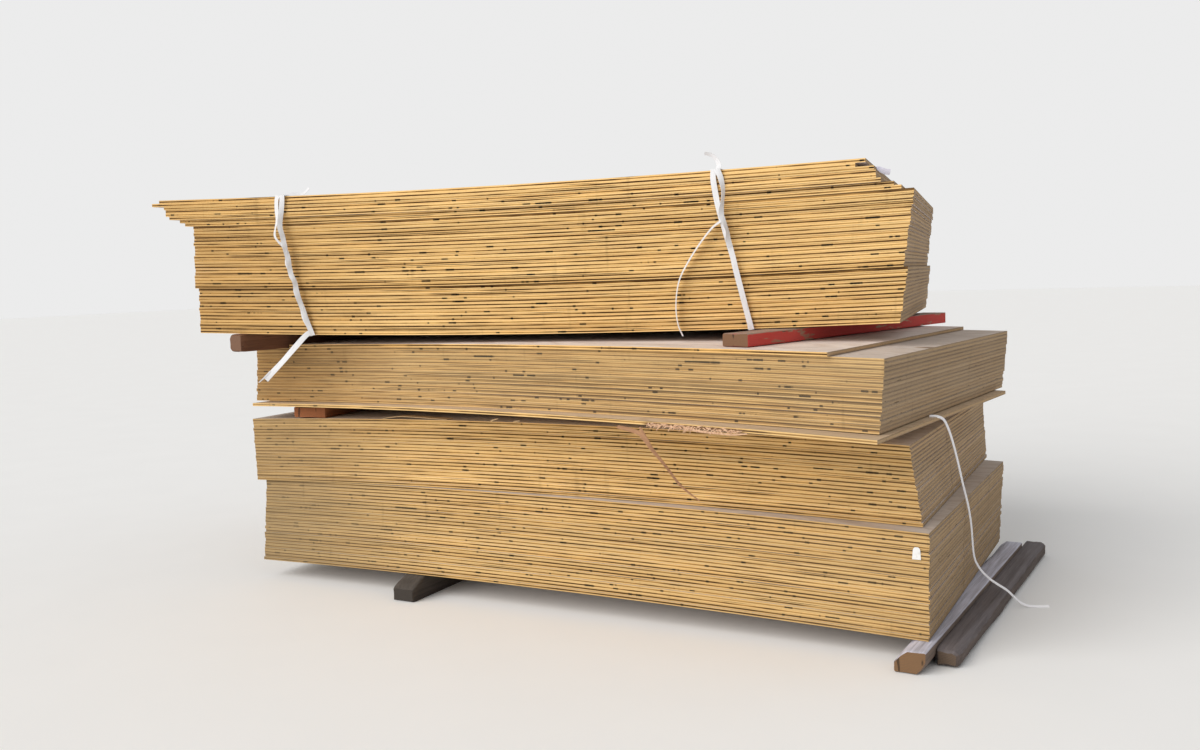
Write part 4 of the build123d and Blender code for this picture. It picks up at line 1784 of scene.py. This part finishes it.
@dataclass(frozen=True)
class TornSheet:
    """The torn front edge of the sheet under the middle bundle, and what hangs from it.

    Each place on a strip is along the sheet, up from the floor, out from the sheet's front
    line, a twist in degrees and a width. The lip's are how far it sags and its width. The
    fibres' leans, tips (degrees), scales, distances out and heights are drawn between two
    values.
    """

    seed: int = 12
    start: float = 1.765
    end: float = 2.060
    fibres: int = 130
    fibre_length: float = 0.017
    fibre_width: float = 0.0026
    fibre_thickness: float = 0.0008
    fibre_bend: float = 0.0012
    fibre_leans: tuple[float, float] = (35, 88)
    fibre_tips: tuple[float, float] = (-35, 10)
    fibre_scales: tuple[float, float] = (0.5, 1.25)
    fibre_outs: tuple[float, float] = (0.0003, 0.003)
    fibre_rises: tuple[float, float] = (0.000, 0.0075)
    strip_thickness: float = 0.0016
    fork_thickness: float = 0.0014
    lip_thickness: float = 0.0018
    long_strip: tuple[tuple[float, ...], ...] = (
        (1.6600, 0.6430, -0.002, 40, 0.010),
        (1.7050, 0.6375, 0.004, 30, 0.012),
        (1.7400, 0.6300, 0.009, 20, 0.013),
        (1.7620, 0.6170, 0.014, 25, 0.014),
        (1.7900, 0.5860, 0.018, 45, 0.011),
        (1.8380, 0.5380, 0.020, 60, 0.008),
        (1.8760, 0.4960, 0.021, 60, 0.007),
        (1.9100, 0.4720, 0.022, 50, 0.005),
        (1.9420, 0.4530, 0.022, 40, 0.0025),
    )
    fork: tuple[tuple[float, ...], ...] = (
        (1.7380, 0.6450, -0.001, 30, 0.006),
        (1.7500, 0.6350, 0.006, 25, 0.008),
        (1.7640, 0.6190, 0.011, 25, 0.009),
        (1.7820, 0.5960, 0.0155, 40, 0.008),
    )
    lip: tuple[tuple[float, float], ...] = (
        (0.001, 0.004), (0.005, 0.006), (0.007, 0.006), (0.008, 0.005), (0.007, 0.005),
        (0.002, 0.002),
    )
    lip_start: float = 1.885
    lip_step: float = 0.0395
    torn_wood: SplinterFinish = SplinterFinish(
        "torn_veneer", (0.88, 0.60, 0.40), (0.32, 0.14, 0.06)
    )
    strip_wood: SplinterFinish = SplinterFinish(
        "peeled_veneer", (0.50, 0.275, 0.150), (0.13, 0.055, 0.025)
    )

    def edge(self, along: float) -> float:
        """The height of the sheet's underside at its front edge."""
        return LOWERED_LEVEL - LOWERED.drop(along)

    def sliver(
        self, name: str, bends: tuple[tuple[float, ...], ...], thick: float
    ) -> bpy.types.Object:
        """Models a strip of veneer.

        Args:
            name: The strip's name.
            bends: Along, height, out from the front edge, twist and width, in order.
            thick: The veneer's thickness.

        Returns:
            The strip.
        """
        middles = [LOWERED.point(along, -out, height) for along, height, out, *_ in bends]
        twists, widths = [bend[3] for bend in bends], [bend[4] for bend in bends]
        return lay_band(name, run_of(middles, twists, widths, -LOWERED.back), thick)

    def peeled_strip(self) -> bpy.types.Object:
        """Models the long splinter that has peeled off and hangs in front of the bundle.

        Returns:
            The splinter with its fork.
        """
        parts = [
            self.sliver("peeled_long", self.long_strip, self.strip_thickness),
            self.sliver("peeled_fork", self.fork, self.fork_thickness),
        ]
        return join("peeled_strip", parts)

    def loose_lip(self) -> bpy.types.Object:
        """Models the long lip of veneer that has split from the underside.

        Returns:
            The lip.
        """
        bends = []
        for step, (sag, width) in enumerate(self.lip):
            along = self.lip_start + self.lip_step * step
            bends.append((along, self.edge(along) - sag, 0.002, -12, width))
        return self.sliver("loose_lip", tuple(bends), self.lip_thickness)

    def fringe(self) -> list[bpy.types.Object]:
        """Models one broken fibre, and copies it along the torn part with small turns.

        Returns:
            The copies.
        """
        chance = random.Random(self.seed)
        length, width = self.fibre_length, self.fibre_width
        places = [Vector((0, 0, -length * share)) for share in (0, 0.35, 0.7, 1)]
        places = [
            place + Vector((self.fibre_bend * i**1.5, 0, 0)) for i, place in enumerate(places)
        ]
        widths = [width, width * 0.9, width * 0.6, width * 0.15]
        stations = run_of(places, [10, 0, -10, -30], widths, Vector((0, -1, 0)))
        first = lay_band("torn_fibre", stations, self.fibre_thickness, 0.0)
        fibres = []
        for index in range(self.fibres):
            along = chance.uniform(self.start, self.end)
            fibre = first.copy()
            fibre.data = first.data.copy()
            bpy.context.scene.collection.objects.link(fibre)
            lean = chance.choice((-1, 1)) * chance.uniform(*self.fibre_leans)
            tip = chance.uniform(*self.fibre_tips)
            size = chance.uniform(*self.fibre_scales)
            out = chance.uniform(*self.fibre_outs)
            height = self.edge(along) + chance.uniform(*self.fibre_rises)
            place = LOWERED.point(along, -out, height)
            turn = Matrix.Rotation(math.radians(LOWERED.turn), 4, "Z")
            turn = turn @ Matrix.Rotation(math.radians(lean), 4, "Y")
            turn = turn @ Matrix.Rotation(math.radians(tip), 4, "X") @ Matrix.Scale(size, 4)
            fibre.data.transform(Matrix.Translation(place) @ turn)
            fibre.name = f"torn_fibre_{index}"
            fibres.append(fibre)
        bpy.data.objects.remove(first)
        return fibres

    def build(self) -> list[bpy.types.Object]:
        """Models everything that is torn.

        Returns:
            The strip and the splinters.
        """
        wood = self.torn_wood.build()
        strip = settle(self.peeled_strip(), self.strip_wood.build())
        splinters = join("torn_edge_splinters", [self.loose_lip(), *self.fringe()])
        return [strip, settle(splinters, wood)]


@dataclass(frozen=True)
class LiftedVeneer:
    """Veneer that has come loose on the front edge of the bottom bundle's top sheet.

    The lifts are places along the edge and how far the veneer has lifted there. The
    splinters are where one starts, how far it reaches and how far it rises.
    """

    lifts: tuple[tuple[float, float], ...] = (
        (0.556, 0.0010), (0.585, 0.0050), (0.625, 0.0085), (0.680, 0.0080), (0.745, 0.0052),
        (0.830, 0.0012),
    )
    splinters: tuple[tuple[float, float, float], ...] = (
        (1.005, 0.036, 0.011), (1.095, 0.030, 0.006),
    )
    flap_width: float = 0.036
    flap_thickness: float = 0.0022
    splinter_widths: tuple[float, ...] = (0.005, 0.004, 0.0012)
    splinter_twists: tuple[float, ...] = (20, 0, -15)
    splinter_thickness: float = 0.0014

    def top(self, along: float) -> float:
        """The height of the top sheet's upper face."""
        return BOTTOM_TOP_LEVEL + SHEET_THICKNESS - BOTTOM_HIGH.drop(along)

    def build(self) -> bpy.types.Object:
        """Models the lifted face and two upstanding splinters.

        Returns:
            The veneer, as one piece.
        """
        lay = BOTTOM_HIGH
        across = self.flap_width / 2
        middles = [lay.point(along, across, self.top(along) + lift) for along, lift in self.lifts]
        count = len(self.lifts)
        stations = run_of(middles, [90] * count, [self.flap_width] * count, -lay.back)
        parts = [lay_band("veneer_flap", stations, self.flap_thickness, 0.0)]
        for index, (along, reach, rise) in enumerate(self.splinters):
            base = self.top(along)
            points = [
                lay.point(along, 0.002, base + 0.0006),
                lay.point(along + reach * 0.5, -0.002, base + rise * 0.6),
                lay.point(along + reach, -0.004, base + rise),
            ]
            twists, widths = list(self.splinter_twists), list(self.splinter_widths)
            stations = run_of(points, twists, widths, -lay.back)
            parts.append(lay_band(f"splinter_{index}", stations, self.splinter_thickness))
        wood = SplinterFinish("lifted_veneer_wood").build()
        return settle(join("lifted_veneer", parts), wood)


@dataclass(frozen=True)
class PaperTag:
    """The small white tag on the front of the bottom bundle, narrower at its top.

    The shoulder is where its rounded top starts, as a share of its height.
    """

    thickness: float = 0.0006
    curl: float = 0.0016
    taper: float = 0.22
    shoulder: float = 0.72
    top_rounding: float = 0.88
    columns: int = 10
    rows: int = 14

    def build(self) -> bpy.types.Object:
        """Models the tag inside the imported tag's box.

        Returns:
            The tag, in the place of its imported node.
        """
        low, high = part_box("white_tag")
        middle, width, tall = (low + high) / 2, high.x - low.x, high.z - low.z
        tag = add_grid("paper_tag", self.columns, self.rows)
        for vertex in tag.data.vertices:
            side, up = vertex.co.x * 2, vertex.co.y + 0.5
            rounding = max(up - self.shoulder, 0) / (1 - self.shoulder)
            narrowing = math.sqrt(max(1 - (self.top_rounding * rounding) ** 2, 0.0))
            half = width / 2 * (1 - self.taper * up) * narrowing
            out = self.curl * ((1 - up) ** 2 * 0.7 + 0.3 * side**2 * (1 - up))
            vertex.co = (middle.x + side * half, high.y - out, low.z + tall * up)
        thicken(tag, self.thickness)
        close_up(WORN_SMOOTH)
        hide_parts("white_tag")
        return settle(tag, PaperFinish("tag_paper").build())


@dataclass(frozen=True)
class LooseStrap:
    """The thin strap that hangs past the right end of the bottom bundle to the floor."""

    name: str = "loose_strap_band"
    width: float = 0.0078
    thickness: float = 0.0020
    length: float = 0.924
    route: tuple[tuple[float, float, float], ...] = (
        (2.396, 0.222, 0.6521),
        (2.425, 0.247, 0.6532),
        (2.438, 0.276, 0.614),
        (2.444, 0.324, 0.556),
        (2.448, 0.372, 0.494),
        (2.453, 0.420, 0.420),
        (2.457, 0.478, 0.352),
        (2.459, 0.520, 0.284),
        (2.460, 0.537, 0.222),
        (2.463, 0.541, 0.170),
        (2.478, 0.546, 0.136),
        (2.501, 0.556, 0.107),
        (2.527, 0.571, 0.084),
        (2.555, 0.588, 0.064),
        (2.577, 0.609, 0.033),
        (2.601, 0.628, 0.008),
        (2.636, 0.644, 0.0033),
        (2.670, 0.664, 0.0033),
    )

    def build(self) -> bpy.types.Object:
        """Models the strap as a smooth curve with a flat section.

        Returns:
            The strap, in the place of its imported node.
        """
        curve = bpy.data.curves.new(self.name, "CURVE")
        curve.dimensions = "3D"
        curve.twist_mode = "MINIMUM"
        curve.resolution_u = 12
        curve.extrude = self.width / 2 - self.thickness / 2
        curve.bevel_depth = self.thickness / 2
        curve.bevel_resolution = 2
        curve.use_fill_caps = True
        spline = curve.splines.new("NURBS")
        spline.points.add(len(self.route) - 1)
        for point, (x, y, z) in zip(spline.points, self.route):
            point.co = (x - PLAN_CENTRE.x, y - PLAN_CENTRE.y, z, 1)
        spline.order_u = 3
        spline.use_endpoint_u = True
        strap = bpy.data.objects.new(self.name, curve)
        bpy.context.scene.collection.objects.link(strap)
        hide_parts("loose_strap")
        # Its own white, lifted further as painted light, as it hangs in the stack's shade
        plastic = StrapFinish(
            "loose_strap_lit_plastic", (0.97, 0.96, 0.98), (0.91, 0.89, 0.93), soil=0.03
        )
        return settle(strap, plastic.build())


# ---------------------------------------------------------------- studio


@dataclass(frozen=True)
class Studio:
    """The floor, the light and the photograph's camera."""

    floor_size: float = 90.0
    key_way: tuple[float, float, float] = (-0.40, -0.77, 0.50)
    key_colour: Colour = (1.0, 0.975, 0.94)
    key_strength: float = 2.45
    key_angle: float = 55.0
    sky_colour: Colour = (0.97, 0.985, 1.0)
    sky: float = 0.50
    backdrop_colour: Colour = (0.93, 0.93, 0.93)
    backdrop: float = 0.90
    clip_end: float = 300.0

    def build(self) -> None:
        """Sets the whole studio up."""
        self._floor()
        self._key_lamp()
        self._even_light()
        self._camera()

    def _floor(self) -> None:
        """Lays the floor."""
        deselect()
        bpy.ops.mesh.primitive_plane_add(size=self.floor_size)
        floor = bpy.context.object
        floor.name = "studio_floor"
        dress(floor, FloorFinish("floor_paint").build())

    def _key_lamp(self) -> None:
        """Hangs the key lamp."""
        lamp = bpy.data.lights.new("key", "SUN")
        lamp.energy = self.key_strength
        lamp.angle = math.radians(self.key_angle)
        lamp.color = self.key_colour
        key = bpy.data.objects.new("key", lamp)
        key.rotation_euler = Vector(self.key_way).to_track_quat("Z", "Y").to_euler()
        bpy.context.scene.collection.objects.link(key)

    def _even_light(self) -> None:
        """Sets the even light all round, and the backdrop that shows behind the stack."""
        recipe = Recipe(bpy.data.worlds.new("studio"))
        # Rays that fall on the object see the sky, and the camera and gloss the backdrop
        camera_ray = recipe.node("ShaderNodeLightPath", output="Is Camera Ray")
        glossy_ray = recipe.node("ShaderNodeLightPath", output="Is Glossy Ray")
        shown = (camera_ray + glossy_ray).clamp()
        sky = {"Color": self.sky_colour, "Strength": self.sky}
        even = recipe.node("ShaderNodeBackground", None, sky)
        backdrop = {"Color": self.backdrop_colour, "Strength": self.backdrop}
        seen = recipe.node("ShaderNodeBackground", None, backdrop)
        bpy.context.scene.world = recipe.finish(recipe.choose(shown, even, seen))

    def _camera(self) -> None:
        """Sets the camera where the photograph was taken from."""
        angles = (CAMERA_YAW, CAMERA_PITCH, CAMERA_ROLL)
        yaw, pitch, roll = (math.radians(angle) for angle in angles)
        flat = math.cos(pitch)
        ahead = Vector((-math.sin(yaw) * flat, math.cos(yaw) * flat, math.sin(pitch)))
        right = Vector((math.cos(yaw), math.sin(yaw), 0))
        above = right.cross(ahead)
        rolled_right = math.cos(roll) * right + math.sin(roll) * above
        rolled_above = math.cos(roll) * above - math.sin(roll) * right
        lens = bpy.data.cameras.new("camera")
        lens.sensor_fit = "HORIZONTAL"
        lens.sensor_width = SENSOR_WIDTH
        lens.lens = FOCAL_PIXELS / IMAGE_WIDTH * SENSOR_WIDTH
        lens.clip_end = self.clip_end
        camera = bpy.data.objects.new("camera", lens)
        turn = Matrix((rolled_right, rolled_above, -ahead)).transposed()
        camera.matrix_world = Matrix.Translation(CAMERA_PLACE) @ turn.to_4x4()
        bpy.context.scene.collection.objects.link(camera)
        bpy.context.scene.camera = camera


def main() -> None:
    """Builds every piece in order, from the camera up."""
    logging.basicConfig(level=logging.INFO, format="%(name)s %(message)s")
    bpy.context.scene.view_settings.view_transform = "Standard"
    Studio().build()
    LooseStrap().build()
    for group in sheet_groups():
        group.dress()
    for timber in worn_timbers():
        timber.build()
    for strap in front_straps():
        strap.build()
    EndStrap().build()
    TornSheet().build()
    LiftedVeneer().build()
    PaperTag().build()


if __name__ == "__main__":
    main()
